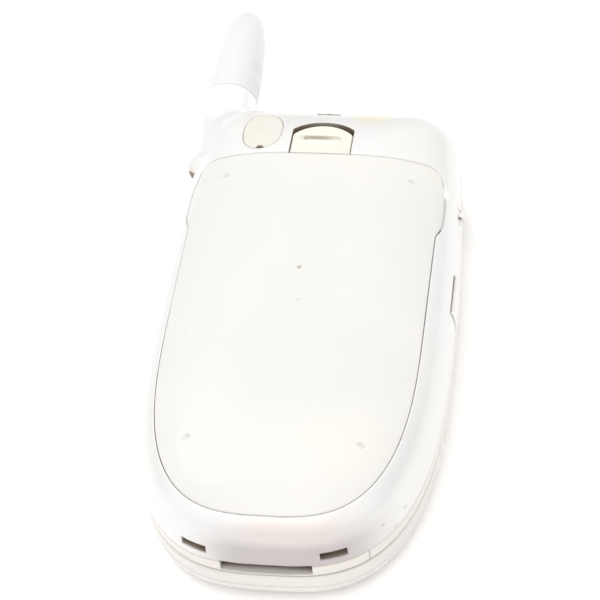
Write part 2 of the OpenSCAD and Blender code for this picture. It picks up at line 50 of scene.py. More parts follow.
back_dir = Vector((math.sin(AZ) * math.cos(EL), -math.cos(AZ) * math.cos(EL), math.sin(EL)))
cam_at = TARGET + back_dir * DIST
right = (-back_dir).cross(Vector((0, 0, 1))).normalized()
up = right.cross(-back_dir)
r2 = math.cos(ROLL) * right + math.sin(ROLL) * up
u2 = -math.sin(ROLL) * right + math.cos(ROLL) * up
cam_data = bpy.data.cameras.new("camera")
cam_data.sensor_width = 36.0
cam_data.lens = FOCAL / 600 * 36.0
cam_data.clip_start, cam_data.clip_end = 0.02, 20.0
camera = bpy.data.objects.new("camera", cam_data)
scene.collection.objects.link(camera)
m = Matrix((
    (r2.x, u2.x, back_dir.x, cam_at.x / 1000),
    (r2.y, u2.y, back_dir.y, cam_at.y / 1000),
    (r2.z, u2.z, back_dir.z, cam_at.z / 1000),
    (0, 0, 0, 1),
))
camera.matrix_world = m
scene.camera = camera

# ------------------------------------------------------------------- field arithmetic

W, KSIDE, ZB, HB = 23.4, 0.0017, 9.3, 11.7
PART_Z, FACE_Z = 9.0, 6.6
HY, HZ, BR, BH = 38.0, 6.4, 5.5, 12.7
ANT_X, ANT_Z = -18.65, 12.0
POCKET = 14.0
BUMPS = [(14.6, 24.5), (-14.6, 24.5), (12.4, -27.9), (-12.4, -27.9)]
SCREWS = [(17.2, 26.6), (-17.2, 26.6), (10, -34.8), (-10, -34.8)]
LID_SCREWS = [(16.8, 26.2), (-16.8, 26.2), (15.4, -29.5), (-15.4, -29.5)]
PX, PY = -10.1, 34.75
LATCH_X = -0.25
JACK_Y, JACK_Z, VOL_Y = 22.4, 11.5, 6.2


def smax(a, b, r):
    """Intersection whose edge is rounded to radius r."""
    u = np.maximum(r + a, 0.0)
    v = np.maximum(r + b, 0.0)
    return np.minimum(-r, np.maximum(a, b)) + np.sqrt(u * u + v * v)


def smin(a, b, r):
    return -smax(-a, -b, r)


def cut(a, b, r=0.0):
    return np.maximum(a, -b) if np.isscalar(r) and r == 0 else smax(a, -b, r)


def step(x, a, b):
    t = np.clip((x - a) / (b - a), 0, 1)
    return t * t * (3 - 2 * t)


def rbox2(x, y, hx, hy, r):
    qx, qy = np.abs(x) - hx + r, np.abs(y) - hy + r
    return np.sqrt(np.maximum(qx, 0) ** 2 + np.maximum(qy, 0) ** 2) + np.minimum(np.maximum(qx, qy), 0) - r


def box(x, y, z, a, b, r=0.0):
    """Box between corners a and b, its edges rounded to r."""
    q = [np.abs(c - (lo + hi) / 2) - (hi - lo) / 2 + r for c, lo, hi in zip((x, y, z), a, b)]
    out = np.sqrt(sum(np.maximum(c, 0) ** 2 for c in q))
    return out + np.minimum(np.maximum(np.maximum(q[0], q[1]), q[2]), 0) - r


def rod(p, q, lo, hi, along, r, edge=0.0):
    """Rod of radius r from lo to hi; p and q are the two offsets from its axis."""
    radial = np.sqrt(p * p + q * q) - r
    ends = np.abs(along - (lo + hi) / 2) - (hi - lo) / 2
    return smax(radial, ends, edge) if edge else np.maximum(radial, ends)


def outline2(x, y, w, a, yc, yt, r, k):
    """Signed distance, to first order, from a plan outline: a three-power curve round the free
    end, sides that close in slowly, and round corners at the hinge end."""
    ax = np.abs(x)
    v = np.maximum(yc - y, 0.0)
    s = np.cbrt((ax / w) ** 3 + (v / a) ** 3 + 1e-12)
    low = (s - 1) * s * s / np.sqrt((ax * ax / w**3) ** 2 + (v * v / a**3) ** 2 + 1e-12)
    t = np.maximum(y - yc, 0.0)
    side = (ax - (w - k * t * t)) / np.sqrt(1 + (2 * k * t) ** 2)
    return np.where(y < yc, low, smax(side, y - yt, r))


def body2(x, y, d):
    return outline2(x, y, W - d, 44.3 - d, 2.0, 44.1 - 0.6 * d - 0.02 * d * d,
                    np.maximum(1.5, 6 - 0.43 * d), KSIDE)


def lid2(x, y, d):
    return outline2(x, y, W - d, 44.3 - d, 2.0, 31.2 - d, max(1.2, 4.5 - 0.6 * d), KSIDE)


def seam2(x, y, d):
    return outline2(x, y, 19.5 - d, 35.5 - d, -4.0, 29.4 - d, np.maximum(0.6, 2.2 - d), 0.0)


# How far inside the plan outline each point lies, as a table that the back's form is read from
TS = 0.1
TX, TY = np.arange(0, 27.05, TS), np.arange(-48, 50.05, TS)
gx, gy = np.meshgrid(TX, TY, indexing="ij")
lo_, hi_ = np.full(gx.shape, -4.0), np.full(gx.shape, 23.38)
for _ in range(24):
    mid = (lo_ + hi_) / 2
    outside = body2(gx, gy, mid) > 0
    hi_ = np.where(outside, mid, hi_)
    lo_ = np.where(outside, lo_, mid)
DTAB = (lo_ + hi_) / 2
_a, _b = np.gradient(DTAB, TS)
GTAB = np.clip(np.sqrt(_a * _a + _b * _b), 0.5, 2.0)


def read_table(x, y):
    fx = np.clip(np.abs(x) / TS, 0, len(TX) - 1.001)
    fy = np.clip((y + 48) / TS, 0, len(TY) - 1.001)
    i, j = fx.astype(np.int64), fy.astype(np.int64)
    fx, fy = fx - i, fy - j
    out = []
    for tab in (DTAB, GTAB):
        t = tab.ravel()
        n = len(TY)
        q = i * n + j
        out.append((t[q] * (1 - fy) + t[q + 1] * fy) * (1 - fx) + (t[q + n] * (1 - fy) + t[q + n + 1] * fy) * fx)
    return out


def back(x, y, z):
    """The whole back, from the parting line over the sides to the top of the battery."""
    d, g = read_table(x, y)
    u = np.maximum(1 - d / W, 0.0)
    t = np.maximum((z - ZB) / HB, 0.0)
    s = np.cbrt(u**3 + t**3 + 1e-9)
    return (s - 1) * s * s / np.sqrt((u * u * g / W) ** 2 + (t * t / HB) ** 2 + 1e-9)


# ------------------------------------------------------------------------- field to mesh


def gradient(f, p, e):
    g = np.empty_like(p)
    for i in range(3):
        q = [p[:, 0], p[:, 1], p[:, 2]]
        q[i] = p[:, i] + e
        a = f(*q)
        q[i] = p[:, i] - e
        g[:, i] = (a - f(*q)) / (2 * e)
    return g


B = 8
CORNERS = np.array([(i, j, k) for i in (0, 1) for j in (0, 1) for k in (0, 1)])
EDGES = [(a, b) for a in range(8) for b in range(a + 1, 8) if np.abs(CORNERS[a] - CORNERS[b]).sum() == 1]


def net(f, lo, hi, h):
    """Vertices and quads of the surface f = 0 on a grid of pitch h, block by block."""
    lo, hi = np.array(lo, float) - 0.37 * h, np.array(hi, float)
    n = np.ceil((hi - lo) / (h * B)).astype(int)
    idx = np.stack(np.meshgrid(*[np.arange(c) for c in n], indexing="ij"), -1).reshape(-1, 3)
    c = lo + (idx + 0.5) * B * h
    idx = idx[np.abs(f(c[:, 0], c[:, 1], c[:, 2])) < B * h * 1.15]
    g = np.arange(B + 1)
    local = np.stack(np.meshgrid(g, g, g, indexing="ij"), -1).reshape(-1, 3)
    span = n * B + 1
    stride = np.array([span[1] * span[2], span[2], 1], np.int64)
    keys, places, quads = [], [], []
    for part in np.array_split(idx, max(1, len(idx) // 700)):
        if not len(part):
            continue
        base = part[:, None, :] * B + local[None]
        p = lo + base.reshape(-1, 3) * h
        v = f(p[:, 0], p[:, 1], p[:, 2]).reshape(len(part), B + 1, B + 1, B + 1)
        v = np.where(v == 0, 1e-9, v)
        s = v < 0
        e = slice(0, B)
        f1 = slice(1, B + 1)
        corner = np.stack([v[:, (f1 if a else e), (f1 if b else e), (f1 if d else e)] for a, b, d in CORNERS], -1)
        inside = corner < 0
        count = inside.sum(-1)
        bi, i, j, k = np.nonzero((count > 0) & (count < 8))
        cv = corner[bi, i, j, k]
        cell = part[bi] * B + np.stack([i, j, k], -1)
        acc, num = np.zeros((len(bi), 3)), np.zeros(len(bi))
        for a, b in EDGES:
            va, vb = cv[:, a], cv[:, b]
            on = (va < 0) != (vb < 0)
            t = np.where(on, va / np.where(on, va - vb, 1), 0)[:, None]
            acc += np.where(on[:, None], CORNERS[a] + t * (CORNERS[b] - CORNERS[a]), 0)
            num += on
        keys.append(cell @ stride)
        places.append(lo + (cell + acc / num[:, None]) * h)
        for axis in range(3):
            a = [e, e, e]
            b = [e, e, e]
            b[axis] = f1
            s0, s1 = s[(slice(None), *a)], s[(slice(None), *b)]
            bi, i, j, k = np.nonzero(s0 != s1)
            at = part[bi] * B + np.stack([i, j, k], -1)
            d1, d2 = (axis + 1) % 3, (axis + 2) % 3
            o1, o2 = np.eye(3, dtype=int)[d1], np.eye(3, dtype=int)[d2]
            q = np.stack([(at - o1 - o2) @ stride, (at - o2) @ stride, at @ stride, (at - o1) @ stride], -1)
            flip = ~s0[bi, i, j, k]
            q[flip] = q[flip][:, ::-1]
            quads.append(q)
    keys, places, quads = np.concatenate(keys), np.concatenate(places), np.concatenate(quads)
    keys, first = np.unique(keys, return_index=True)
    places = places[first]
    cells = np.stack([keys // stride[0], keys // stride[1] % span[1], keys % span[2]], 1)
    found = np.searchsorted(keys, quads)
    found = np.minimum(found, len(keys) - 1)
    quads = found[(keys[found] == quads).all(1)]
    return places, cells, quads


def settle(f, p, h, times=2, held=None):
    for _ in range(times):
        v = f(p[:, 0], p[:, 1], p[:, 2])
        g = gradient(f, p, 0.03)
        move = g * (v / np.maximum((g * g).sum(1), 0.05))[:, None]
        size = np.linalg.norm(move, axis=1)
        move *= np.minimum(1, 0.6 * h / np.maximum(size, 1e-9))[:, None]
        if held is not None:
            move[held] = 0
        p = p - move
    return p


def sharpen(f, lo, h, cell, p, quads):
    """Moves the vertices next to an edge to where the planes of their cell's crossings meet."""
    normal = gradient(f, p, 0.06)
    normal /= np.maximum(np.linalg.norm(normal, axis=1), 1e-9)[:, None]
    a, b = quads.ravel(), np.roll(quads, -1, 1).ravel()
    apart = (normal[a] * normal[b]).sum(1) < 0.93
    flag = np.zeros(len(p), bool)
    flag[a[apart]] = flag[b[apart]] = True
    out = p.copy()
    for at in np.array_split(np.nonzero(flag)[0], max(1, flag.sum() // 20000)):
        if not len(at):
            continue
        base = lo + cell[at] * h
        c = base[:, None, :] + CORNERS[None] * h
        v = f(c[..., 0].ravel(), c[..., 1].ravel(), c[..., 2].ravel()).reshape(-1, 8)
        v = np.where(v == 0, 1e-9, v)
        m = np.tile(np.eye(3) * 0.03, (len(at), 1, 1))
        rhs = p[at] * 0.03
        for i, j in EDGES:
            on = np.nonzero((v[:, i] < 0) != (v[:, j] < 0))[0]
            s, e = c[on, i], c[on, j]
            vs, ve = v[on, i], v[on, j]
            for _ in range(3):
                t = (vs / (vs - ve))[:, None]
                q = s + t * (e - s)
                w = f(q[:, 0], q[:, 1], q[:, 2])
                same = (w < 0) == (vs < 0)
                s, vs = np.where(same[:, None], q, s), np.where(same, np.where(w == 0, vs, w), vs)
                e, ve = np.where(same[:, None], e, q), np.where(same, ve, np.where(w == 0, ve, w))
            t = (vs / (vs - ve))[:, None]
            q = s + t * (e - s)
            g = gradient(f, q, 0.012)
            g /= np.maximum(np.linalg.norm(g, axis=1), 1e-9)[:, None]
            np.add.at(m, on, g[:, :, None] * g[:, None, :])
            np.add.at(rhs, on, g * (g * q).sum(1)[:, None])
        x = np.linalg.solve(m, rhs[..., None])[..., 0]
        out[at] = np.clip(x, base - 0.8 * h, base + 1.8 * h)
    return out, flag


def make_mesh(name, co, quads, tris=None):
    me = bpy.data.meshes.new(name)
    loops, starts, totals, at = [], [], [], 0
    for faces in (quads, tris):
        if faces is None or not len(faces):
            continue
        faces = np.asarray(faces)
        n, k = faces.shape
        loops.append(faces.ravel())
        starts.append(at + np.arange(n) * k)
        totals.append(np.full(n, k))
        at += n * k
    loops, starts, totals = np.concatenate(loops), np.concatenate(starts), np.concatenate(totals)
    me.vertices.add(len(co))
    me.vertices.foreach_set("co", (np.asarray(co) / 1000).astype(np.float32).ravel())
    me.loops.add(len(loops))
    me.loops.foreach_set("vertex_index", loops.astype(np.int32))
    me.polygons.add(len(starts))
    me.polygons.foreach_set("loop_start", starts.astype(np.int32))
    me.polygons.foreach_set("loop_total", totals.astype(np.int32))
    me.update(calc_edges=True)
    me.validate()
    return me


def groups(keys, normal, limit, free):
    """Number of the group that each vertex falls in, or -1, for groups whose normals nearly agree."""
    uniq, inv = np.unique(keys, return_inverse=True)
    n = np.bincount(inv, minlength=len(uniq))
    m = np.stack([np.bincount(inv, normal[:, i], minlength=len(uniq)) for i in range(3)], 1)
    whole = np.bincount(inv, free, minlength=len(uniq)) == n
    good = (np.linalg.norm(m, axis=1) / n > limit) & whole & (n > 1)
    return np.where(good[inv], inv, -1)


STEPS = ((8, 0.9997), (4, 0.9990), (2, 0.9975))


def thin(f, p, cell, quads, flag, steps=STEPS):
    """Joins the vertices of neighbouring cells wherever the surface is nearly flat, away from its edges."""
    normal = gradient(f, p, 0.06)
    normal /= np.maximum(np.linalg.norm(normal, axis=1), 1e-9)[:, None]
    owner = np.arange(len(p))
    a, b = quads.ravel(), np.roll(quads, -1, 1).ravel()
    sharp = (normal[a] * normal[b]).sum(1) < 0.975
    edge = flag.copy()
    edge[a[sharp]] = edge[b[sharp]] = True
    near = edge[quads].any(1)
    edge[quads[near].ravel()] = True
    free = ~edge
    top = len(p)
    for size, limit in steps:
        c = cell // size
        keys = (c[:, 0] * 100000 + c[:, 1]) * 100000 + c[:, 2]
        g = groups(keys, normal, limit, free)
        hit = g >= 0
        owner[hit] = top + g[hit]
        top += len(p)
        free &= ~hit
    uniq, inv = np.unique(owner, return_inverse=True)
    n = np.bincount(inv)
    p = np.stack([np.bincount(inv, p[:, i]) / n for i in range(3)], 1)
    held = np.zeros(len(p), bool)
    held[inv[flag]] = True
    q = inv[quads]
    same = np.stack([q[:, i] == q[:, (i + 1) % 4] for i in range(4)], 1)
    cross = (q[:, 0] == q[:, 2]) | (q[:, 1] == q[:, 3])
    pairs = same.sum(1)
    whole = q[(pairs == 0) & ~cross]
    some = (pairs == 1) & ~cross
    t, at = q[some], same[some].argmax(1)
    rows = np.arange(len(t))
    tris = np.stack([t[rows, (at + 1 + i) % 4] for i in range(3)], 1)
    return p, whole, tris, held


def even_out(f, p, quads, tris, held, times=8):
    """Slides the vertices of smooth regions along the surface until they lie evenly."""
    pairs = [quads[:, [i, (i + 1) % 4]] for i in range(4)] + [tris[:, [i, (i + 1) % 3]] for i in range(3)]
    e = np.sort(np.concatenate(pairs), 1)
    code = np.unique(e[:, 0] * len(p) + e[:, 1])
    a, b = code // len(p), code % len(p)
    normal = gradient(f, p, 0.06)
    normal /= np.maximum(np.linalg.norm(normal, axis=1), 1e-9)[:, None]
    apart = (normal[a] * normal[b]).sum(1) < 0.985
    free = ~held
    free[a[apart]] = free[b[apart]] = False
    num = np.bincount(a, minlength=len(p)) + np.bincount(b, minlength=len(p))
    for _ in range(times):
        mean = np.stack([np.bincount(a, p[b, i], len(p)) + np.bincount(b, p[a, i], len(p)) for i in range(3)], 1)
        move = mean / np.maximum(num, 1)[:, None] - p
        move -= normal * (move * normal).sum(1)[:, None]
        p = p + 0.7 * move * free[:, None]
    return p


def put(name, me):
    o = bpy.data.objects.new(name, me)
    scene.collection.objects.link(o)
    return o


def formed(name, f, lo, hi, h=0.2, soft=0.08, steps=STEPS):
    """A piece whose surface is f = 0, with the form's own normals."""
    co, cell, quads = net(f, lo, hi, h)
    co, flag = sharpen(f, np.array(lo, float) - 0.37 * h, h, cell, co, quads)
    co, quads, tris, held = thin(f, co, cell, quads, flag, steps)
    co = even_out(f, settle(f, co, h, 2, held), quads, tris, held)
    co = settle(f, co, h, 1, held)
    used = np.unique(np.concatenate([quads.ravel(), tris.ravel()]))
    new = np.zeros(len(co), np.int64)
    new[used] = np.arange(len(used))
    co, quads, tris = co[used], new[quads], new[tris]
    me = make_mesh(name, co, quads, tris)
    o = put(name, me)
    at = np.empty(len(me.vertices) * 3, np.float32)
    me.vertices.foreach_get("co", at)
    nrm = gradient(f, at.reshape(-1, 3).astype(float) * 1000, soft)
    nrm /= np.maximum(np.linalg.norm(nrm, axis=1), 1e-9)[:, None]
    me.polygons.foreach_set("use_smooth", np.ones(len(me.polygons), bool))
    me.update()
    me.normals_split_custom_set_from_vertices(nrm.tolist())
    return o


# ---------------------------------------------------------------------------- the forms


def barrel_room(x, y, z):
    return np.minimum(rod(y - HY, z - HZ, -BH - 0.3, BH + 0.3, x, BR + 0.3),
                      box(x, y, z, (-BH - 0.3, HY - 4.5, -2), (BH + 0.3, 46, HZ + 3.4)))


def pill2(x, y, l, w):
    return rbox2(x, y, l / 2, w / 2, min(l, w) / 2)


def tilted(x, y, z, cx, cy, cz, deg, hx, hy, hz, r):
    a = math.radians(deg)
    X = (x - cx) * math.cos(a) + (y - cy) * math.sin(a)
    Y = -(x - cx) * math.sin(a) + (y - cy) * math.cos(a)
    return box(X, Y, z - cz, (-hx, -hy, -hz), (hx, hy, hz), r)


def tab2(x, y, g):
    """Finger tab on each side of the battery pack, grown by g."""
    ax = np.abs(x)
    f = ax - 20.25 - g
    f = smax(f, (ax - 19.5) * 0.923 - (y - 15.1) * 0.385 - g, 0.5)
    f = smax(f, (ax - 20.25) * 0.961 + (y - 24.2) * 0.277 - g, 0.8)
    return np.maximum(f, np.maximum(15 - g - y, y - 26.8 - g))


def latch2(x, y, r, half, cy, y0):
    c = np.sqrt((x - LATCH_X) ** 2 + (y - cy) ** 2) - r
    return np.maximum(smax(c, np.abs(x - LATCH_X) - half, 0.35), y0 - y)


def quiet(x, y):
    """1 along the top and upper left of the pack, where it fits closest, and 0 along the rest of its edge."""
    return np.maximum(step(y, 25.5, 27.5), step(-x, 8, 13) * step(y, -12, 4))


def plug2(x, y, g):
    a, b = 3.2 + g, 4.32 + g
    u, v = np.abs(x - PX + 0.08) / a, np.abs(y - PY) / b
    s = (u**2.3 + v**2.3 + 1e-9) ** (1 / 2.3)
    return (s - 1) * s**1.3 / np.sqrt((u**1.3 / a) ** 2 + (v**1.3 / b) ** 2 + 1e-9)


def rear_housing(x, y, z):
    g = back(x, y, z)
    f = smax(g, PART_Z + 0.05 - z, 0.12)
    tabs = step(y, 16.5, 18.5) * (1 - step(y, 24.5, 27)) * step(np.abs(x), 18.5, 19.5)
    pocket = np.maximum(smin(seam2(x, y, 0), tab2(x, y, 0.12), 0.2), POCKET - z)
    f = cut(f, pocket, 0.1 - 0.04 * quiet(x, y) + 0.16 * tabs)
    thumb = np.sqrt((x - 20.2) ** 2 + ((y - 25.2) * 0.8) ** 2 + (z - 17.9) ** 2) - 1.25
    f = cut(f, thumb, 0.4)
    cavity = smax(body2(x, y, 1.5), z - 13, 0.3)
    cavity = np.maximum(cavity, -rod(y - HY, z - HZ, -BH - 1.5, BH + 1.5, x, BR + 1.5))
    cavity = np.maximum(cavity, -box(x, y, z, (-30, 40.6, 0), (-12.6, 50, 20)))
    f = cut(f, cavity)
    f = cut(f, box(x, y, z, (-13.5, 31, 13.4), (13.5, 40.4, 17.2), 0.2))
    boss = rod(x - ANT_X, z - ANT_Z, 33, 49.5, y, 4.6, 0.3)
    f = smin(f, boss, 0.02 + 1.5 * step(z, 9.6, 12.5))
    f = np.minimum(f, box(x, y, z, (-17.5, 34, 9.2), (-12, 42, 12.9)))
    f = cut(f, barrel_room(x, y, z), 0.12)
    f = cut(f, rod(y - HY, z - HZ, -21.8, 21.8, x, BR + 0.04))
    f = cut(f, rod(x - ANT_X, z - ANT_Z, 43.2, 51, y, 2.36), 0.1)
    f = cut(f, box(x, y, z, (-6.75, -46, 7.1), (6.6, -35.2, 9.35)), 0.1)
    f = cut(f, box(x, y, z, (20.3, VOL_Y - 4.1, 10), (26, VOL_Y + 4.1, 14.42), 0.25), 0.08)
    f = cut(f, box(x, y, z, (21.65, JACK_Y - 2.9, 10.1), (26, JACK_Y + 2.9, 13.7), 0.45), 0.06)
    f = cut(f, rod(y - JACK_Y, z - JACK_Z, 19.5, 22, x, 1.75))
    f = cut(f, np.maximum(latch2(x, y, 6.9, 4.95, 30.3, 29.1), 17 - z), 0.12)
    f = cut(f, box(x, y, z, (-4.3, 28.9, 16.1), (4.3, 31.5, 17.3)))
    f = cut(f, np.maximum(plug2(x, y, 0.06), 18.2 - z), 0.09)
    f = cut(f, rod(x - PX, y - PY, 16.9, 19, z, 2.2))
    for s, cx in ((-1, -10.35), (1, 9.65)):
        f = cut(f, tilted(x, y, z, cx, -40.6, 11.2, s * 24, 2.0, 2.2, 0.78, 0.05), 0.04)
    f = cut(f, box(x, y, z, (-2.1, 39.9, 16.7), (1.8, 46, 17.6), 0.2), 0.15)
    f = cut(f, box(x, y, z, (-2.1, 39.85, 16.7), (1.8, 40.75, 21), 0.2), 0.1)
    for sx, sy in SCREWS:
        f = cut(f, rod(x - sx, y - sy, 12, 15, z, 0.95))
        f = cut(f, rod(x - sx, y - sy, 13.2, 15, z, 1.75), 0.15)
    f = cut(f, box(x, y, z, (-9.5, -14, 12.5), (16.5, 3, 15), 0.3), 0.15)
    return cut(f, box(x, y, z, (-5.2, -37.2, 12.5), (5.2, -33.4, 15), 0.3), 0.15)


def pocket_ledge(x, y, z):
    """Narrow step a little below the surface, on which the upper edge of the pack rests."""
    g = back(x, y, z)
    edge = smin(seam2(x, y, 0), tab2(x, y, 0.12), 0.2)
    depth = 0.3 - 0.14 * quiet(x, y)
    f = smax(np.abs(g + depth + 0.22) - 0.22, np.abs(edge + 0.05) - 0.3, 0.1)
    left = np.maximum(x + 8, -8 - y)
    other = np.where(x > 8, 17.0 - y, 26 - y)
    reach = np.minimum(left, np.maximum(other, -8 - x))
    f = np.maximum(f, reach)
    return np.maximum(f, -np.maximum(latch2(x, y, 7.0, 5.1, 30.3, 27), 12 - z))


def battery_cover(x, y, z):
    g = back(x, y, z)
    seam = seam2(x, y, 0.1 - 0.03 * quiet(x, y))
    tab = smax(tab2(x, y, -0.12), 15.6 - z, 0.2)
    plan = smax(smin(seam, tab, 0.3), y - 29.28, 0.5)
    tabs = step(y, 16.5, 18.5) * (1 - step(y, 24.5, 27)) * step(np.abs(x), 18, 19.5)
    f = smax(g, plan, 0.13 - 0.06 * quiet(x, y) + 0.16 * tabs)
    f = smax(f, 14.25 - z, 0.2)
    room = np.maximum(seam2(x, y, 2.2), z - 16.8)
    cell = np.maximum(np.maximum(seam2(x, y, 3.2), z - 18.35), np.maximum(-27 - y, y - 27.5))
    f = cut(f, np.minimum(room, cell), 0.1)
    for bx, by in BUMPS:
        d, _ = read_table(np.array([bx]), np.array([by]))
        top = ZB + HB * np.cbrt(1 - (1 - d[0] / W) ** 3)
        dome = np.sqrt((x - bx) ** 2 + (y - by) ** 2 + (z - top + 0.5) ** 2) - 0.78
        f = smin(f, dome, 0.1)
    return f


def battery_latch(x, y, z):
    plan = latch2(x, y, 6.42, 4.86, 29.8, 29.5)
    top = z - (20.75 - math.tan(math.radians(4.6)) * (y - 29.4))
    along = 1 - step(np.abs(x - LATCH_X), 1.6, 3.2)
    ridge = 0.22 * np.exp(-(((y - 32.3) / 0.5) ** 2)) * along
    f = smax(plan, top - ridge, 0.25)
    f = smax(f, 17.05 - z, 0.1)
    groove = rod(y - 33.15, z - 20.32, LATCH_X - 2.9, LATCH_X + 2.9, x, 0.5, 0.4)
    f = cut(f, groove, 0.2)
    f = np.minimum(f, box(x, y, z, (-6.2, 31.2, 16.3), (6.2, 37.9, 17.1), 0.1))
    f = np.minimum(f, box(x, y, z, (-3.8, 29.75, 16.3), (3.8, 31.4, 17.1), 0.1))
    for s in (-1, 1):
        f = np.minimum(f, box(x, y, z, (s * 3.6 - 0.9, 37, 15.1), (s * 3.6 + 0.9, 38.3, 16.4), 0.1))
    return f


def socket_plug(x, y, z):
    g = back(x, y, z) + 0.02
    f = smax(plug2(x, y, 0), g, 0.16)
    f = smax(f, 18.3 - z, 0.15)
    f = cut(f, np.sqrt((x - PX) ** 2 + ((y - PY + 4.25) * 1.1) ** 2 + ((z - 20.5) * 0.7) ** 2) - 0.62, 0.1)
    return np.minimum(f, rod(x - PX, y - PY, 17.1, 18.5, z, 1.9, 0.2))


def antenna(x, y, z):
    t = y - 49.6
    r = np.sqrt((x - ANT_X) ** 2 + (z - ANT_Z) ** 2)
    k = np.maximum(t, 0) / 21.88
    u = r / 4.5
    f = u**3 + k**2.6 - 1
    f = f / np.sqrt((0.667 * u * u) ** 2 + (0.119 * k**1.6) ** 2 + 1e-4)
    f = smax(f, -t, 0.25)
    f = np.maximum(f, t - 21.88)
    ring = np.sqrt((r - 4.62) ** 2 + (t - 2.3) ** 2) - 0.22
    f = cut(f, ring, 0.12)
    return cut(f, rod(x - ANT_X, z - ANT_Z, 49, 49.6 + 15.7, y, 2.7))


def side_frame(x, y, ym):
    xs = W - KSIDE * (ym - 2) ** 2
    a = math.atan(2 * KSIDE * (ym - 2))
    X = (x - xs) * math.cos(a) + (y - ym) * math.sin(a)
    return X, -(x - xs) * math.sin(a) + (y - ym) * math.cos(a)


def volume_key(x, y, z):
    X, Y = side_frame(x, y, VOL_Y)
    bulge = 0.18 - 0.036 * (z - 11.2) ** 2 - 0.07 * (1 - step(np.abs(Y), 0.15, 1.3)) - 0.004 * Y * Y
    f = smax(rbox2(Y, z - 12.2, 3.8, 1.88, 0.4), X - bulge, 0.22)
    f = smax(f, -2.7 - X, 0.15)
    for s in (-1, 1):
        mark = box(X, Y, z, (-0.06, s * 2.3 - 0.5, 11.85), (1, s * 2.3 + 0.5, 12.1), 0.05)
        f = cut(f, mark, 0.06)
    f = cut(f, box(X, Y, z, (-0.06, 2.18, 11.47), (1, 2.42, 12.48), 0.05), 0.06)
    return np.minimum(f, box(x, y, z, (20.2, VOL_Y - 0.8, 11), (21, VOL_Y + 0.8, 12.6), 0.1))


def headset_cover(x, y, z):
    X, Y = side_frame(x, y, JACK_Y)
    bulge = -0.03 - 0.036 * np.maximum(z - 10.6, 0) ** 2
    f = smax(rbox2(Y, z - 11.9, 2.84, 1.74, 0.42), X - bulge, 0.1)
    f = smax(f, -0.6 - X, 0.1)
    for dy in (-1.1, 1.15):
        pit = np.sqrt((x - 22.75) ** 2 + ((y - 24.0 - dy) * 1.25) ** 2 + ((z - 12.75) * 0.8) ** 2) - 0.72
        f = cut(f, pit, 0.08)
    lug = box(x, y, z, (22.0, 23.4, 12.0), (23.15, 24.6, 13.35), 0.25)
    return smin(f, lug, 0.08)


def front_housing(x, y, z):
    o = body2(x, y, 0)
    f = smax(o, z - PART_Z + 0.05, 0.12)
    f = smax(f, FACE_Z - 0.1 - z, 0.8)
    inner = np.maximum(body2(x, y, 1.5), 7.9 - z)
    inner = np.maximum(inner, y - 31)
    f = cut(f, inner, 0.05)
    for sx, sy in SCREWS:
        f = np.minimum(f, rod(x - sx, y - sy, 7.8, 12.9, z, 1.9, 0.1))
    knuckle = smax(rod(y - HY, z - HZ, -21.6, 21.6, x, BR, 0.5), body2(x, y, 0.15), 0.3)
    f = smin(f, knuckle, 0.1)
    f = cut(f, barrel_room(x, y, z), 0.15)
    f = cut(f, rod(x - ANT_X, z - ANT_Z, 30, 52, y, 4.66), 0.05)
    f = cut(f, box(x, y, z, (-6.75, -46, 7.0), (6.6, -35.2, 9.3)), 0.12)
    line = np.abs((x - 14.5) * 0.754 + (y + 38.5) * 0.656) - np.maximum(0.17 + 0.8 * o, -0.1)
    f = cut(f, np.maximum(line, np.abs(y + 38.5) - 3), 0.03)
    field = smax(smax(body2(x, y, 3.4), -33.2 - y, 2.5), y - 28, 2.5)
    f = cut(f, np.maximum(field, z - 7.1), 0.18)
    small = rbox2(((x + 6.25) % 12.5) - 6.25, ((y + 4.6 + 3.9) % 7.8) - 3.9, 5.4, 3.0, 3.0)
    small = np.maximum(small, np.maximum(np.abs(x) - 18.75, np.maximum(-31.8 - y, y + 0.7)))
    f = cut(f, small, 0.12)
    for s in (-1, 1):
        f = cut(f, pill2(x - s * 15.2, y - 14.5, 6.4, 11.4), 0.12)
    rad = np.sqrt(x * x + (y - 14.5) ** 2)
    f = cut(f, rad - 9.6, 0.12)
    f = cut(f, np.maximum(rad - 10.4, 7.55 - z))
    f = cut(f, np.sqrt((x + 14) ** 2 + (y + 33.2) ** 2) - 0.5, 0.1)
    for sx, sy in SCREWS:
        f = cut(f, rod(x - sx, y - sy, 9.2, 13.5, z, 0.72))
    f = cut(f, rod(y - HY, z - HZ, 12, 17.5, x, 1.52))
    f = cut(f, rod(y - HY, z - HZ, -17, -12, x, 1.9))
    f = cut(f, box(x, y, z, (-16.95, 31.4, 5.85), (-15.85, 39.1, 8.2)))
    return cut(f, box(x, y, z, (-16.95, 30, 7.9), (-11.8, 32.5, 10)))


def lid_shell(x, y, z):
    d = np.maximum(-lid2(x, y, 0), -3.0) - 0.08
    n = 2.2
    u = np.maximum(1 - d / 5.5, 0)
    t = np.maximum((4.0 - z) / 4.0, 0)
    s = (u**n + t**n + 1e-9) ** (1 / n)
    return (s - 1) * s ** (n - 1) / np.sqrt((u ** (n - 1) / 5.5) ** 2 + (t ** (n - 1) / 4.0) ** 2 + 1e-9)


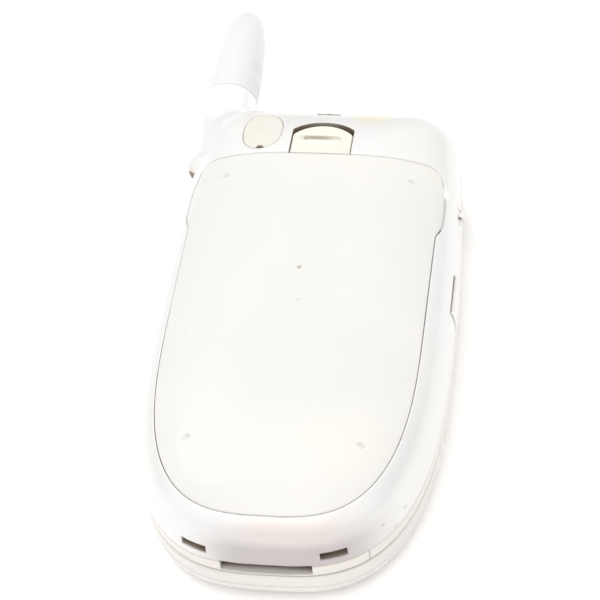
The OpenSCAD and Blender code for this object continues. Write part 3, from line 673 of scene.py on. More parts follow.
def lid_cover(x, y, z):
    f = smax(lid_shell(x, y, z), z - 3.97, 0.12)
    room = np.minimum(np.maximum(lid2(x, y, 1.9), 2.2 - z), np.maximum(lid2(x, y, 3.4), 1.1 - z))
    for sx, sy in LID_SCREWS:
        room = np.maximum(room, -(np.sqrt((x - sx) ** 2 + (y - sy) ** 2) - 1.9))
    f = cut(f, room, 0.05)
    for sx, sy in LID_SCREWS:
        f = cut(f, rod(x - sx, y - sy, 1.6, 5, z, 0.72))
    f = cut(f, rbox2(x, y - 13.5, 9.5, 8.5, 0.8))
    f = cut(f, np.maximum(rbox2(x, y - 13.5, 10.7, 9.7, 1.6), z - 0.85), 0.12)
    return cut(f, box(x, y, z, (-BH - 0.1, 29.5, 1.9), (BH + 0.1, 34, 6)), 0.1)


def lid_bezel(x, y, z):
    f = smax(lid2(x, y, 0.06), 4.03 - z, 0.12)
    f = smax(f, z - 6.2, 0.45)
    f = cut(f, np.maximum(lid2(x, y, 1.9), np.maximum(3.9 - z, z - 5.1)))
    barrel = rod(y - HY, z - HZ, -BH, BH, x, BR, 0.35)
    web = box(x, y, z, (-BH, 29.6, 2.2), (BH, 35, 6.2), 0.2)
    f = smin(f, np.minimum(barrel, web), 0.2)
    f = cut(f, rbox2(x, y, 15.5, 20, 0.8))
    f = cut(f, np.maximum(rbox2(x, y, 18.08, 22.58, 2.0), 5.4 - z), 0.14)
    for i in range(-2, 3):
        f = cut(f, np.maximum(pill2(x - i * 2.2, y + 33, 1.0, 3.2), 5 - z), 0.15)
    for sx, sy in LID_SCREWS:
        rr = np.sqrt((x - sx) ** 2 + (y - sy) ** 2)
        f = cut(f, rr - 0.9)
        f = cut(f, np.maximum(rr - 1.75, 5.3 - z), 0.12)
    f = cut(f, rod(y - HY, z - HZ, -6.5, BH + 1, x, 3.2))
    f = cut(f, rod(y - HY, z - HZ, -BH - 1, -6.4, x, 1.96))
    return cut(f, box(x, y, z, (-6, 28, 3.4), (-1, 36, 4.8)))


def plate(cx, cy, hx, hy, corner, z0, z1, edge):
    return lambda x, y, z: smax(rbox2(x - cx, y - cy, hx, hy, corner), np.abs(z - (z0 + z1) / 2) - (z1 - z0) / 2, edge)


def key_form(l, w, dome):
    def f(x, y, z):
        p = pill2(x, y, l, w)
        face = 6.75 + dome * ((2 * x / l) ** 2 + (2 * y / w) ** 2)
        f = smax(p, face - z, 0.35)
        f = np.maximum(f, z - 8.0)
        flange = np.maximum(pill2(x, y, l + 1.1, w + 1.1), np.abs(z - 8.12) - 0.13)
        return np.minimum(f, flange)
    return f


def nav_form(x, y, z):
    r = np.sqrt(x * x + (y - 14.5) ** 2)
    hollow = 0.22 * np.exp(-(((r - 7.1) / 1.4) ** 2))
    f = smax(r - 9.35, 6.75 + hollow - z, 0.45)
    f = smax(f, 4.7 - r, 0.3)
    f = np.maximum(f, z - 8.0)
    for c, s in ((1, 0), (-1, 0), (0, 1), (0, -1)):
        px, py = x - 7.1 * c, y - 14.5 - 7.1 * s
        tri = np.maximum(np.maximum(-(px * c + py * s) - 0.35, (px * c + py * s) * 0.6 + (px * s - py * c) - 0.55),
                         (px * c + py * s) * 0.6 - (px * s - py * c) - 0.55)
        f = cut(f, np.maximum(tri, z - 7.07), 0.05)
    ring = np.maximum(np.maximum(r - 9.9, 4.7 - r), np.abs(z - 8.12) - 0.13)
    return np.minimum(f, ring)


def ok_form(x, y, z):
    r = np.sqrt(x * x + (y - 14.5) ** 2)
    f = smax(r - 4.4, 6.75 + 0.25 * (1 - step(r, 0, 3.9)) - z, 0.4)
    return np.maximum(f, z - 8.2)


# ---------------------------------------------------------------------------- materials


class Mat:
    """A procedural material built up from noise layers in the piece's own coordinates."""

    def __init__(self, name, color, rough, metallic=0.0, coat=0.0, coat_rough=0.08, spec=0.5, ior=1.45):
        self.m = bpy.data.materials.new(name)
        self.m.use_nodes = True
        self.n, self.l = self.m.node_tree.nodes, self.m.node_tree.links
        self.b = self.n["Principled BSDF"]
        self.b.inputs["Metallic"].default_value = metallic
        self.b.inputs["IOR"].default_value = ior
        self.b.inputs["Specular IOR Level"].default_value = spec
        self.b.inputs["Coat Weight"].default_value = coat
        self.b.inputs["Coat Roughness"].default_value = coat_rough
        tc = self.n.new("ShaderNodeTexCoord")
        self.at = tc.outputs["Object"]
        self.m.diffuse_color = (*color, 1)
        self.color = self.rgb(color)
        self.rough = rough
        self.height = None

    def rgb(self, c):
        return (*c, 1.0)

    def math(self, op, a, b=None, clamp=False):
        n = self.n.new("ShaderNodeMath")
        n.operation = op
        n.use_clamp = clamp
        for i, v in enumerate((a, b)):
            if v is None:
                continue
            if isinstance(v, (int, float)):
                n.inputs[i].default_value = v
            else:
                self.l.new(v, n.inputs[i])
        return n.outputs[0]

    def scaled(self, scale, rot=(0, 0, 0), loc=(0, 0, 0)):
        n = self.n.new("ShaderNodeMapping")
        n.inputs["Scale"].default_value = scale if hasattr(scale, "__len__") else (scale,) * 3
        n.inputs["Rotation"].default_value = rot
        n.inputs["Location"].default_value = loc
        self.l.new(self.at, n.inputs["Vector"])
        return n.outputs[0]

    def noise(self, per_mm, detail=3.0, rough=0.5, stretch=None, rot=(0, 0, 0), loc=(0, 0, 0)):
        s = 1000.0 * per_mm
        v = self.scaled([s * c for c in (stretch or (1, 1, 1))], rot, loc)
        n = self.n.new("ShaderNodeTexNoise")
        n.inputs["Scale"].default_value = 1.0
        n.inputs["Detail"].default_value = detail
        n.inputs["Roughness"].default_value = rough
        self.l.new(v, n.inputs["Vector"])
        return n.outputs["Fac"]

    def cells(self, per_mm, stretch=None, rot=(0, 0, 0), feature="F1", loc=(0, 0, 0)):
        s = 1000.0 * per_mm
        v = self.scaled([s * c for c in (stretch or (1, 1, 1))], rot, loc)
        n = self.n.new("ShaderNodeTexVoronoi")
        n.feature = feature
        n.inputs["Scale"].default_value = 1.0
        self.l.new(v, n.inputs["Vector"])
        return n.outputs["Distance"]

    def ramp(self, fac, lo, hi, a=0.0, b=1.0):
        n = self.n.new("ShaderNodeMapRange")
        n.interpolation_type = "SMOOTHSTEP"
        self.l.new(fac, n.inputs["Value"])
        n.inputs["From Min"].default_value = lo
        n.inputs["From Max"].default_value = hi
        n.inputs["To Min"].default_value = a
        n.inputs["To Max"].default_value = b
        return n.outputs[0]

    def mix(self, fac, a, b):
        n = self.n.new("ShaderNodeMix")
        n.data_type = "RGBA"
        if isinstance(fac, (int, float)):
            n.inputs[0].default_value = fac
        else:
            self.l.new(fac, n.inputs[0])
        for i, v in ((6, a), (7, b)):
            if isinstance(v, tuple):
                n.inputs[i].default_value = v if len(v) == 4 else (*v, 1)
            else:
                self.l.new(v, n.inputs[i])
        return n.outputs[2]

    def tint(self, fac, color):
        self.color = self.mix(fac, self.color, self.rgb(color))

    def vary_rough(self, fac, amount):
        a = self.math("MULTIPLY", self.math("SUBTRACT", fac, 0.5), amount)
        self.rough = self.math("ADD", a, self.rough, clamp=True)

    def raise_by(self, fac, amount):
        h = self.math("MULTIPLY", fac, amount)
        self.height = h if self.height is None else self.math("ADD", self.height, h)

    def axis(self, which):
        n = self.n.new("ShaderNodeSeparateXYZ")
        self.l.new(self.at, n.inputs[0])
        return self.math("MULTIPLY", n.outputs["XYZ".index(which)], 1000.0)

    def away(self, v, mid):
        return self.math("ABSOLUTE", self.math("SUBTRACT", v, mid))

    def reach(self, x, y):
        """Distance in mm from an upright line through x, y."""
        a, b = self.math("SUBTRACT", self.axis("X"), x), self.math("SUBTRACT", self.axis("Y"), y)
        return self.math("SQRT", self.math("ADD", self.math("MULTIPLY", a, a), self.math("MULTIPLY", b, b)))

    def near(self, x, y, z, r0, r1):
        """1 within r0 mm of a point and 0 beyond r1."""
        n = self.n.new("ShaderNodeVectorMath")
        n.operation = "DISTANCE"
        self.l.new(self.at, n.inputs[0])
        n.inputs[1].default_value = (x / 1000, y / 1000, z / 1000)
        return self.ramp(n.outputs["Value"], r0 / 1000, r1 / 1000, 1.0, 0.0)

    def done(self, bump=1.0):
        for socket, v in (("Base Color", self.color), ("Roughness", self.rough)):
            if isinstance(v, (int, float, tuple)):
                self.b.inputs[socket].default_value = v
            else:
                self.l.new(v, self.b.inputs[socket])
        if self.height is not None:
            n = self.n.new("ShaderNodeBump")
            n.inputs["Strength"].default_value = bump
            n.inputs["Distance"].default_value = 0.001
            self.l.new(self.height, n.inputs["Height"])
            self.l.new(n.outputs[0], self.b.inputs["Normal"])
        return self.m


def pearl(name, color, rough=0.3, coat=0.5, metallic=0.0, spots=0.5, warm=(0.80, 0.77, 0.66)):
    t = Mat(name, color, rough, metallic=metallic, coat=coat, coat_rough=0.12)
    t.tint(t.math("MULTIPLY", t.ramp(t.noise(0.045, 4), 0.42, 0.75), 0.22), warm)
    t.tint(t.math("MULTIPLY", t.ramp(t.noise(9.0, 1), 0.5, 0.8), 0.16), tuple(c * 0.86 for c in color))
    specks = t.ramp(t.cells(0.16, loc=(3.1, 1.7, 0.4)), 0.02, 0.05, 1, 0)
    t.tint(t.math("MULTIPLY", specks, spots), (0.42, 0.40, 0.36))
    fine = t.noise(0.5, 6, 0.65, stretch=(1, 0.06, 0.3), rot=(0, 0, 0.5))
    t.tint(t.ramp(fine, 0.70, 0.76, 0, 0.25), tuple(c * 0.8 for c in color))
    t.vary_rough(t.noise(0.25, 5), 0.16)
    t.raise_by(t.noise(3.0, 3), 0.004)
    t.raise_by(t.noise(0.35, 2), 0.012)
    return t


# ------------------------------------------------------------------------------ assembly


def ready(o, body, mat, nodes=()):
    o.data.materials.clear()
    o.data.materials.append(mat)
    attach(o, body)
    if nodes:
        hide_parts(*nodes)
    return o


def spot(t, x, y, z, size, color, amount=1.0, soft=1.8):
    """A small mark of the given colour on the surface."""
    t.tint(t.math("MULTIPLY", t.near(x, y, z, size * 0.5, size * 0.5 * soft), amount), color)


# dark brown for painted shade in gaps, slits, slots and notches
SHADE_BROWN = (0.20, 0.15, 0.10)
LUG_PIT_SHADE = ((22.33, 25.1, 12.55), (22.36, 22.98, 13.19))  # painted shade: dark spots in the two pits beside the lug
t = pearl("battery_paint", (0.624, 0.619, 0.603), 0.35, 0.4, spots=0.2)
for bx, by in BUMPS:
    d, _ = read_table(np.array([bx]), np.array([by]))
    spot(t, bx, by, ZB + HB * float(np.cbrt(1 - (1 - d[0] / W) ** 3)) + 0.2, 0.5, (0.42, 0.42, 0.42), 0.5, 2.2)
spot(t, -0.3, 4.5, 20.9, 0.45, (0.33, 0.28, 0.22), 0.8)
spot(t, -0.05, 4.75, 20.9, 0.3, (0.33, 0.28, 0.22), 0.6)
spot(t, 0.4, -2.0, 20.9, 0.4, (0.45, 0.43, 0.4), 0.5)
spot(t, 1.7, -8.0, 20.9, 0.4, (0.5, 0.47, 0.42), 0.3)
m_battery = t.done()

t = pearl("silver_paint", (0.695, 0.695, 0.697), 0.35, 0.4, metallic=0.28, spots=0.25, warm=(0.70, 0.67, 0.61))
# painted shade: the free end is darkened between the two slots, where it turns away from the light
end = t.math("MULTIPLY", t.ramp(t.axis("Z"), 12.2, 16.4, 1.0, 0.0), t.ramp(t.away(t.axis("X"), 3.6), 7, 16, 1.0, 0.0))
end = t.math("MULTIPLY", end, t.ramp(t.axis("Y"), -33.5, -30, 1.0, 0.0))
t.tint(t.math("MULTIPLY", end, 0.92), (0.415, 0.385, 0.39))
# painted reflection: a peach band across the free end, above the darker band
warm = t.math("MULTIPLY", t.ramp(t.away(t.axis("Z"), 15.6), 0.5, 3.0, 1.0, 0.0),
              t.ramp(t.away(t.axis("X"), 4.0), 3, 11, 1.0, 0.0))
warm = t.math("MULTIPLY", warm, t.ramp(t.axis("Y"), -30.5, -28, 0.45, 0.0))
t.tint(warm, (0.66, 0.56, 0.51))
# painted light: the antenna boss at the hinge end is lightened
t.tint(t.math("MULTIPLY", t.ramp(t.axis("Y"), 40.5, 44.5, 0.0, 0.8), t.ramp(t.axis("X"), -13.5, -10, 1.0, 0.0)),
       (0.82, 0.82, 0.825))
# painted shade in the gap round the arched top of the latch opening
arch_gap_shade = t.math("MULTIPLY", t.ramp(t.reach(LATCH_X, 30.3), 6.92, 6.99, 1.0, 0.0), t.ramp(t.axis("Y"), 29.3, 29.8))
arch_gap_shade = t.math("MULTIPLY", arch_gap_shade, t.ramp(t.away(t.axis("X"), LATCH_X), 0.5, 4.2, 0.5, 0.9))
t.tint(t.math("MULTIPLY", arch_gap_shade, t.ramp(t.away(t.axis("X"), LATCH_X), 4.97, 5.03, 1.0, 0.0)), SHADE_BROWN)
# painted shadow along the slit over the volume key
line = t.math("MULTIPLY", t.ramp(t.away(t.axis("Z"), 14.4), 0.06, 0.2, 1.0, 0.0), t.ramp(t.axis("X"), 22.0, 22.2))
t.tint(t.math("MULTIPLY", line, t.ramp(t.away(t.axis("Y"), VOL_Y), 3.4, 3.9, 0.8, 0.0)), SHADE_BROWN)
# painted shade inside the two slots on the free end, darker towards their inner side
for side, cx in ((-1, -10.35), (1, 9.65)):
    turn = math.radians(24 * side)
    dx, dy = t.math("SUBTRACT", t.axis("X"), cx), t.math("ADD", t.axis("Y"), 40.6)
    u = t.math("ADD", t.math("MULTIPLY", dx, math.cos(turn)), t.math("MULTIPLY", dy, math.sin(turn)))
    v = t.math("ADD", t.math("MULTIPLY", dx, -math.sin(turn)), t.math("MULTIPLY", dy, math.cos(turn)))
    inside = t.math("MULTIPLY", t.ramp(t.away(u, 0.0), 2.02, 2.08, 1.0, 0.0),
                    t.ramp(t.away(t.axis("Z"), 11.2), 0.8, 0.84, 1.0, 0.0))
    t.tint(t.math("MULTIPLY", inside, t.ramp(v, -0.6, 0.6, 0.3, 0.85)), (0.22, 0.15, 0.09))
t.tint(t.math("MULTIPLY", t.near(7.0, 40.4, 19.0, 2.2, 4.4), 0.3), (0.78, 0.72, 0.36))
# painted highlight: a small white glint beside the upper corner of the right tab
t.tint(t.math("MULTIPLY", t.near(20.3, 24.9, 17.3, 0.7, 1.4), 0.8), (0.93, 0.93, 0.93))
# painted shade in the lanyard slot at the hinge end and in the notch beside the socket plug
spot(t, -0.15, 40.2, 17.6, 1.6, SHADE_BROWN, 0.8, 1.5)
spot(t, PX, PY - 4.4, 19.6, 1.1, SHADE_BROWN, 0.85, 1.5)
spot(t, 13.5, -39.3, 9.3, 0.7, (0.5, 0.46, 0.42), 0.45, 2.4)
spot(t, -5.6, -42.0, 12.1, 0.8, (0.5, 0.47, 0.44), 0.4, 2.4)
for px, py, pz in ((19.0, -32.1, 11.2), (16.4, -36.3, 12.3), (17.8, -34.6, 9.8), (6.6, -41.6, 12.9), (-2.4, -42.3, 11.6)):
    spot(t, px, py, pz, 0.45, (0.42, 0.39, 0.37), 0.5, 2.0)
    spot(t, px + 0.35, py + 0.25, pz, 0.3, (0.46, 0.43, 0.41), 0.45, 2.0)
# painted shade in the two pits beside the lug
for mx, my, mz in LUG_PIT_SHADE:
    spot(t, mx, my, mz, 0.9, (0.10, 0.09, 0.085), 0.85, 1.4)
m_rear = t.done()

t = pearl("front_paint", (0.645, 0.62, 0.585), 0.36, 0.3, spots=0.4)
cross = t.math("ADD", t.math("MULTIPLY", t.math("SUBTRACT", t.axis("X"), 14.5), 0.754),
               t.math("MULTIPLY", t.math("ADD", t.axis("Y"), 38.5), 0.656))
t.tint(t.math("MULTIPLY", t.ramp(t.away(cross, 0.0), 0.06, 0.16, 1.0, 0.0), t.ramp(t.axis("Y"), -37, -36, 0.6, 0.0)),
       (0.33, 0.3, 0.27))
# painted shade: the connector mouth darkens towards its inner end
mouth_shade = t.math("MULTIPLY", t.ramp(t.away(t.axis("X"), -0.075), 6.72, 6.78, 1.0, 0.0),
               t.ramp(t.away(t.axis("Z"), 8.15), 1.17, 1.21, 1.0, 0.0))
mouth_shade = t.math("MULTIPLY", mouth_shade, t.ramp(t.axis("Y"), -34.0, -33.5, 1.0, 0.0))
t.tint(t.math("MULTIPLY", mouth_shade, t.ramp(t.axis("Y"), -41.6, -40.5, 0.0, 0.85)), (0.16, 0.12, 0.08))
m_front = t.done()
m_lid = pearl("lid_paint", (0.65, 0.635, 0.615), 0.34, 0.4, spots=0.3).done()
m_bezel = pearl("bezel_paint", (0.65, 0.635, 0.615), 0.34, 0.25, metallic=0.1, spots=0.3).done()
t = pearl("side_paint", (0.695, 0.695, 0.697), 0.35, 0.4, metallic=0.25)
# painted shadow along the slit over the volume key
line = t.math("MULTIPLY", t.ramp(t.axis("Z"), 13.9, 14.04), t.ramp(t.away(t.axis("Y"), VOL_Y), 3.4, 3.8, 0.8, 0.0))
t.tint(t.math("MULTIPLY", line, t.ramp(t.axis("X"), 22.72, 22.95, 1.0, 0.0)), SHADE_BROWN)
# painted shade in the two pits beside the lug
for mx, my, mz in LUG_PIT_SHADE:
    spot(t, mx, my, mz, 0.9, (0.10, 0.09, 0.085), 0.9, 1.4)
m_side = t.done()
t = pearl("latch_paint", (0.665, 0.645, 0.59), 0.36, 0.3, spots=0.2)
# painted shade on the latch below the housing rim, in the gap round it
t.tint(t.math("MULTIPLY", t.ramp(t.axis("Z"), 18.6, 19.4, 1.0, 0.0), 0.9), SHADE_BROWN)
# painted shade in the groove across the latch, darkest left of its middle
slit_shade = t.math("MULTIPLY", t.ramp(t.away(t.axis("Y"), 33.15), 0.15, 0.85, 1.0, 0.0),
              t.ramp(t.away(t.axis("X"), LATCH_X - 0.9), 0.6, 3.6, 1.0, 0.0))
t.tint(t.math("MULTIPLY", slit_shade, 0.8), (0.26, 0.24, 0.17))
m_latch = t.done()

t = Mat("plug_rubber", (0.635, 0.617, 0.57), 0.62, spec=0.35)
t.tint(t.ramp(t.noise(0.3, 5), 0.45, 0.75, 0, 0.35), (0.57, 0.54, 0.47))
t.tint(t.ramp(t.noise(2.4, 3), 0.6, 0.8, 0, 0.2), (0.54, 0.52, 0.46))
# painted shade in the notch of the plug
spot(t, PX, PY - 4.3, 19.7, 1.5, SHADE_BROWN, 0.9, 1.5)
t.vary_rough(t.noise(0.8, 4), 0.15)
t.raise_by(t.noise(4.0, 4), 0.012)
m_plug = t.done()

t = Mat("bumper_rubber", (0.42, 0.42, 0.43), 0.7, spec=0.3)
t.tint(t.ramp(t.noise(1.2, 4), 0.5, 0.8, 0, 0.4), (0.3, 0.3, 0.31))
t.raise_by(t.noise(6.0, 3), 0.01)
m_bumper = t.done()

t = Mat("stub_plastic", (0.645, 0.64, 0.66), 0.36, coat=0.2)
t.tint(t.ramp(t.noise(0.18, 4), 0.5, 0.8, 0, 0.3), (0.63, 0.615, 0.61))
t.tint(t.ramp(t.noise(1.6, 5, 0.7), 0.64, 0.74, 0, 0.2), (0.57, 0.55, 0.55))
spot(t, ANT_X + 3.7, 56.0, 14.2, 1.0, (0.56, 0.55, 0.50), 0.4, 3.0)
t.vary_rough(t.noise(0.6, 4), 0.2)
t.raise_by(t.noise(2.2, 4), 0.008)
m_stub = t.done()

t = Mat("window_glass", (0.012, 0.013, 0.016), 0.06, coat=1.0, coat_rough=0.03)
t.tint(t.ramp(t.noise(0.05, 2), 0.45, 0.7, 0, 0.25), (0.02, 0.022, 0.027))
t.tint(t.ramp(t.noise(0.6, 7, 0.7, stretch=(1, 0.08, 1), rot=(0, 0, 0.9)), 0.72, 0.78, 0, 0.5), (0.08, 0.08, 0.085))
t.vary_rough(t.noise(0.3, 5), 0.08)
t.raise_by(t.noise(1.0, 2), 0.002)
m_glass = t.done()

t = Mat("display_module", (0.05, 0.055, 0.06), 0.35, spec=0.4)
t.tint(t.ramp(t.noise(2.5, 2), 0.4, 0.7, 0, 0.5), (0.075, 0.08, 0.085))
m_display = t.done()

t = Mat("stamped_steel", (0.62, 0.63, 0.65), 0.34, metallic=1.0)
t.tint(t.ramp(t.noise(1.2, 5, 0.6, stretch=(1, 0.1, 1)), 0.5, 0.8, 0, 0.5), (0.45, 0.45, 0.46))
t.vary_rough(t.noise(2.0, 4, stretch=(1, 0.1, 1)), 0.3)
t.raise_by(t.noise(5.0, 3), 0.006)
m_steel = t.done()

t = Mat("gold_contact", (0.83, 0.62, 0.28), 0.28, metallic=1.0)
t.tint(t.ramp(t.noise(2.0, 4), 0.55, 0.75, 0, 0.6), (0.6, 0.45, 0.25))
t.vary_rough(t.noise(3.0, 3), 0.25)
m_gold = t.done()

t = Mat("moulded_black", (0.03, 0.03, 0.033), 0.45, spec=0.45)
t.tint(t.ramp(t.noise(0.8, 4), 0.5, 0.8, 0, 0.5), (0.06, 0.06, 0.062))
t.vary_rough(t.noise(1.5, 4), 0.25)
t.raise_by(t.noise(8.0, 2), 0.01)
m_black = t.done()

t = Mat("board_mask", (0.03, 0.13, 0.07), 0.35, coat=0.3)
t.tint(t.ramp(t.cells(1.1), 0.1, 0.18, 1, 0), (0.45, 0.36, 0.16))
t.tint(t.ramp(t.noise(1.2, 2, stretch=(1, 0.2, 1)), 0.52, 0.56, 0, 0.6), (0.05, 0.19, 0.10))
t.raise_by(t.noise(2.0, 2), 0.01)
m_board = t.done()

t = Mat("flex_film", (0.62, 0.30, 0.06), 0.3, coat=0.4)
t.tint(t.ramp(t.noise(3.0, 1, stretch=(1, 0.02, 1)), 0.48, 0.52, 0, 0.7), (0.72, 0.45, 0.2))
m_flex = t.done()

t = Mat("sheet_rubber", (0.55, 0.57, 0.58), 0.6, spec=0.3)
t.tint(t.ramp(t.noise(0.7, 4), 0.5, 0.8, 0, 0.4), (0.46, 0.48, 0.5))
t.raise_by(t.noise(5.0, 3), 0.01)
m_sheet = t.done()

t = Mat("coil_wire", (0.75, 0.42, 0.25), 0.25, metallic=1.0)
t.tint(t.ramp(t.noise(1.5, 4), 0.5, 0.8, 0, 0.6), (0.5, 0.28, 0.16))
m_copper = t.done()

t = Mat("cell_wrap", (0.10, 0.16, 0.27), 0.32, coat=0.3)
t.tint(t.ramp(t.noise(0.5, 5), 0.5, 0.8, 0, 0.5), (0.14, 0.22, 0.34))
t.tint(t.ramp(t.noise(0.4, 6, 0.7, stretch=(1, 0.1, 1)), 0.66, 0.74, 0, 0.4), (0.3, 0.34, 0.4))
t.raise_by(t.noise(1.0, 4), 0.03)
m_cell = t.done()


def key_material(name, color):
    t = Mat(name, color, 0.3, metallic=0.35, coat=0.5, coat_rough=0.1)
    t.tint(t.ramp(t.noise(0.25, 4), 0.5, 0.8, 0, 0.3), tuple(c * 0.85 for c in color))
    t.tint(t.ramp(t.noise(6.0, 2), 0.55, 0.8, 0, 0.2), tuple(c * 0.8 for c in color))
    t.vary_rough(t.noise(0.8, 4), 0.2)
    t.raise_by(t.noise(2.5, 3), 0.005)
    return t.done()


m_key = key_material("key_paint", (0.66, 0.68, 0.72))
m_key_go = key_material("key_paint_green", (0.50, 0.66, 0.54))
m_key_end = key_material("key_paint_red", (0.70, 0.50, 0.50))

t = Mat("key_print", (0.05, 0.07, 0.12), 0.5)
t.tint(t.ramp(t.noise(6.0, 4), 0.55, 0.75, 0, 0.4), (0.12, 0.14, 0.2))
m_print = t.done()

# Carried-over CAD nodes get their materials first
NODE_MATS = {
    "display_module": (m_display, ["outer_display", "inner_display"]),
    "steel": (m_steel, ["display_frame", "lid_magnet", "lid_screws", "hinge_case", "hinge_spring", "hinge_shaft",
                        "hinge_pin", "shield_can", "vibration_motor", "backup_cell", "sim_holder", "latch_spring",
                        "body_screws"]),
    "black": (m_black, ["earpiece", "loudspeaker", "microphone", "side_switch", "headset_jack"]),
    "gold": (m_gold, ["battery_contacts", "rf_connector", "antenna_ferrule", "battery_terminals"]),
    "board": (m_board, ["circuit_board"]),
    "flex": (m_flex, ["flex_cable", "flex_tail"]),
    "sheet": (m_sheet, ["keypad_sheet"]),
    "copper": (m_copper, ["antenna_coil"]),
    "cell": (m_cell, ["battery_cell"]),
}
for mat, nodes in NODE_MATS.values():
    for n in nodes:
        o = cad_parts[n]
        o.data.materials.clear()
        o.data.materials.append(mat)

ready(formed("rear_shell", rear_housing, (-25, -44, 6), (25, 51.5, 21.6), 0.2), "main_body", m_rear,
      ["rear_housing"])
ready(formed("battery_shell", battery_cover, (-22, -41, 13.5), (22, 31, 22), 0.2), "battery", m_battery,
      ["battery_cover"])
ready(formed("pocket_step", pocket_ledge, (-21.5, -9, 14), (21.5, 30.5, 22), 0.14), "main_body", m_rear)
ready(formed("front_shell", front_housing, (-25, -44, 0), (25, 46, 14), 0.2), "main_body", m_front,
      ["front_housing"])
ready(formed("lid_outer_shell", lid_cover, (-25, -44, -1), (25, 33, 5), 0.22), "lid", m_lid,
      ["lid_cover"])
ready(formed("lid_inner_shell", lid_bezel, (-25, -44, 0), (25, 45, 13), 0.22), "lid", m_bezel,
      ["lid_bezel"])
ready(formed("latch_button", battery_latch, (-7, 29, 14.5), (7, 39, 22), 0.12), "latch", m_latch,
      ["battery_latch"])
ready(formed("socket_stopper", socket_plug, (PX - 4, PY - 5, 16.5), (PX + 4, PY + 5, 21.5), 0.12), "socket_plug",
      m_plug, ["antenna_socket_plug"])
ready(formed("stub_cover", antenna, (ANT_X - 5.5, 49, ANT_Z - 5.5), (ANT_X + 5.5, 72, ANT_Z + 5.5), 0.2),
      "main_body", m_stub, ["antenna_cover"])
ready(formed("volume_rocker_cap", volume_key, (20, 1, 9.8), (24.2, 12, 14.6), 0.12), "volume_rocker", m_side,
      ["volume_key"])
ready(formed("headset_flap_cap", headset_cover, (21.5, 19.2, 9.8), (23.6, 25.8, 14), 0.1), "headset_flap", m_side,
      ["headset_cover"])
ready(formed("window_outer", plate(0, 13.5, 10.58, 9.58, 1.5, 0.1, 0.85, 0.12), (-11.5, 3, -0.5), (11.5, 24, 1.5),
             0.2), "lid", m_glass, ["outer_lens"])
ready(formed("window_inner", plate(0, 0, 17.98, 22.48, 1.9, 5.4, 6.1, 0.14), (-19, -23.5, 5), (19, 23.5, 6.6),
             0.2), "lid", m_glass, ["inner_lens"])

# rubber bumpers and screw caps of the lid, one piece as in the frame
def bumpers(x, y, z):
    f = None
    for sx, sy in LID_SCREWS:
        top = 6.5 if sy < 0 else 6.18
        rr = np.sqrt((x - sx) ** 2 + (y - sy) ** 2)
        g = smax(rr - 1.65, np.maximum(z - top + 0.02 * rr * rr, 6 - z), 0.15)
        f = g if f is None else np.minimum(f, g)
    return f


ready(formed("lid_bumper_set", bumpers, (-19, -32, 5.5), (19, 29, 7), 0.12), "lid", m_bumper,
      ["lid_bumpers"])

# the connector in the free end: a shell, a tongue and its contact blades
def connector(x, y, z):
    f = box(x, y, z, (-6.3, -40.3, 7.25), (6.3, -35.4, 9.2), 0.15)
    f = cut(f, box(x, y, z, (-5.6, -43, 7.6), (5.6, -38, 8.85), 0.2), 0.08)
    return np.minimum(f, box(x, y, z, (-5.2, -39.9, 8.15), (5.2, -37.5, 8.55), 0.1))


ready(formed("connector_block", connector, (-7, -41.5, 6.8), (7, -34.8, 9.6), 0.12), "main_body", m_black,
      ["interface_connector"])


co, fc = [], []
for i in range(18):
    cx = -4.675 + 0.55 * i
    a = (cx - 0.14, -39.75, 8.03)
    b = (cx + 0.14, -38.0, 8.17)
    n0 = len(co)
    for zz in (a[2], b[2]):
        co += [(a[0], a[1] + 0.25 * (zz < 8.1), zz), (b[0], a[1] + 0.25 * (zz < 8.1), zz), (b[0], b[1], zz), (a[0], b[1], zz)]
    fc += [[n0 + k for k in q] for q in ((3, 2, 1, 0), (4, 5, 6, 7), (0, 1, 5, 4), (1, 2, 6, 5), (2, 3, 7, 6), (3, 0, 4, 7))]
blade_obj = put("connector_blades", make_mesh("connector_blades", np.array(co), np.array(fc)))
ready(blade_obj, "main_body", m_gold)

# ----------------------------------------------------------------------------- keypad

KEYS = {"key_1": (0, 0), "key_2": (1, 0), "key_3": (2, 0), "key_4": (0, 1), "key_5": (1, 1), "key_6": (2, 1),
        "key_7": (0, 2), "key_8": (1, 2), "key_9": (2, 2), "key_star": (0, 3), "key_0": (1, 3), "key_hash": (2, 3)}
SIGNS = {"key_star": "*", "key_hash": "#"}
master = formed("digit_cap", key_form(10.4, 5.6, 0.12), (-6.5, -4, 6.2), (6.5, 4, 8.7), 0.16)
cap_mesh = master.data
bpy.data.objects.remove(master)


def printed(name, text, size, cx, cy, zf, body, mat):
    """A plain character printed on a key, facing the reader of the open phone."""
    c = bpy.data.curves.new(name, "FONT")
    c.body = text
    c.size = size / 1000
    c.align_x, c.align_y = "CENTER", "CENTER"
    c.extrude = 0.00002
    c.resolution_u = 6
    tmp = bpy.data.objects.new(name, c)
    scene.collection.objects.link(tmp)
    bpy.context.view_layer.update()
    me = bpy.data.meshes.new_from_object(tmp.evaluated_get(bpy.context.evaluated_depsgraph_get()))
    bpy.data.objects.remove(tmp)
    bpy.data.curves.remove(c)
    co = np.empty(len(me.vertices) * 3, np.float32)
    me.vertices.foreach_get("co", co)
    co = co.reshape(-1, 3).astype(float) * 1000
    mid = (co.min(0) + co.max(0)) / 2
    co[:, 0] = -(co[:, 0] - mid[0]) + cx
    co[:, 1] = (co[:, 1] - mid[1]) + cy
    co[:, 2] = -co[:, 2] + zf
    me.vertices.foreach_set("co", (co / 1000).astype(np.float32).ravel())
    me.name = name
    me.update()
    return ready(put(name, me), body, mat)


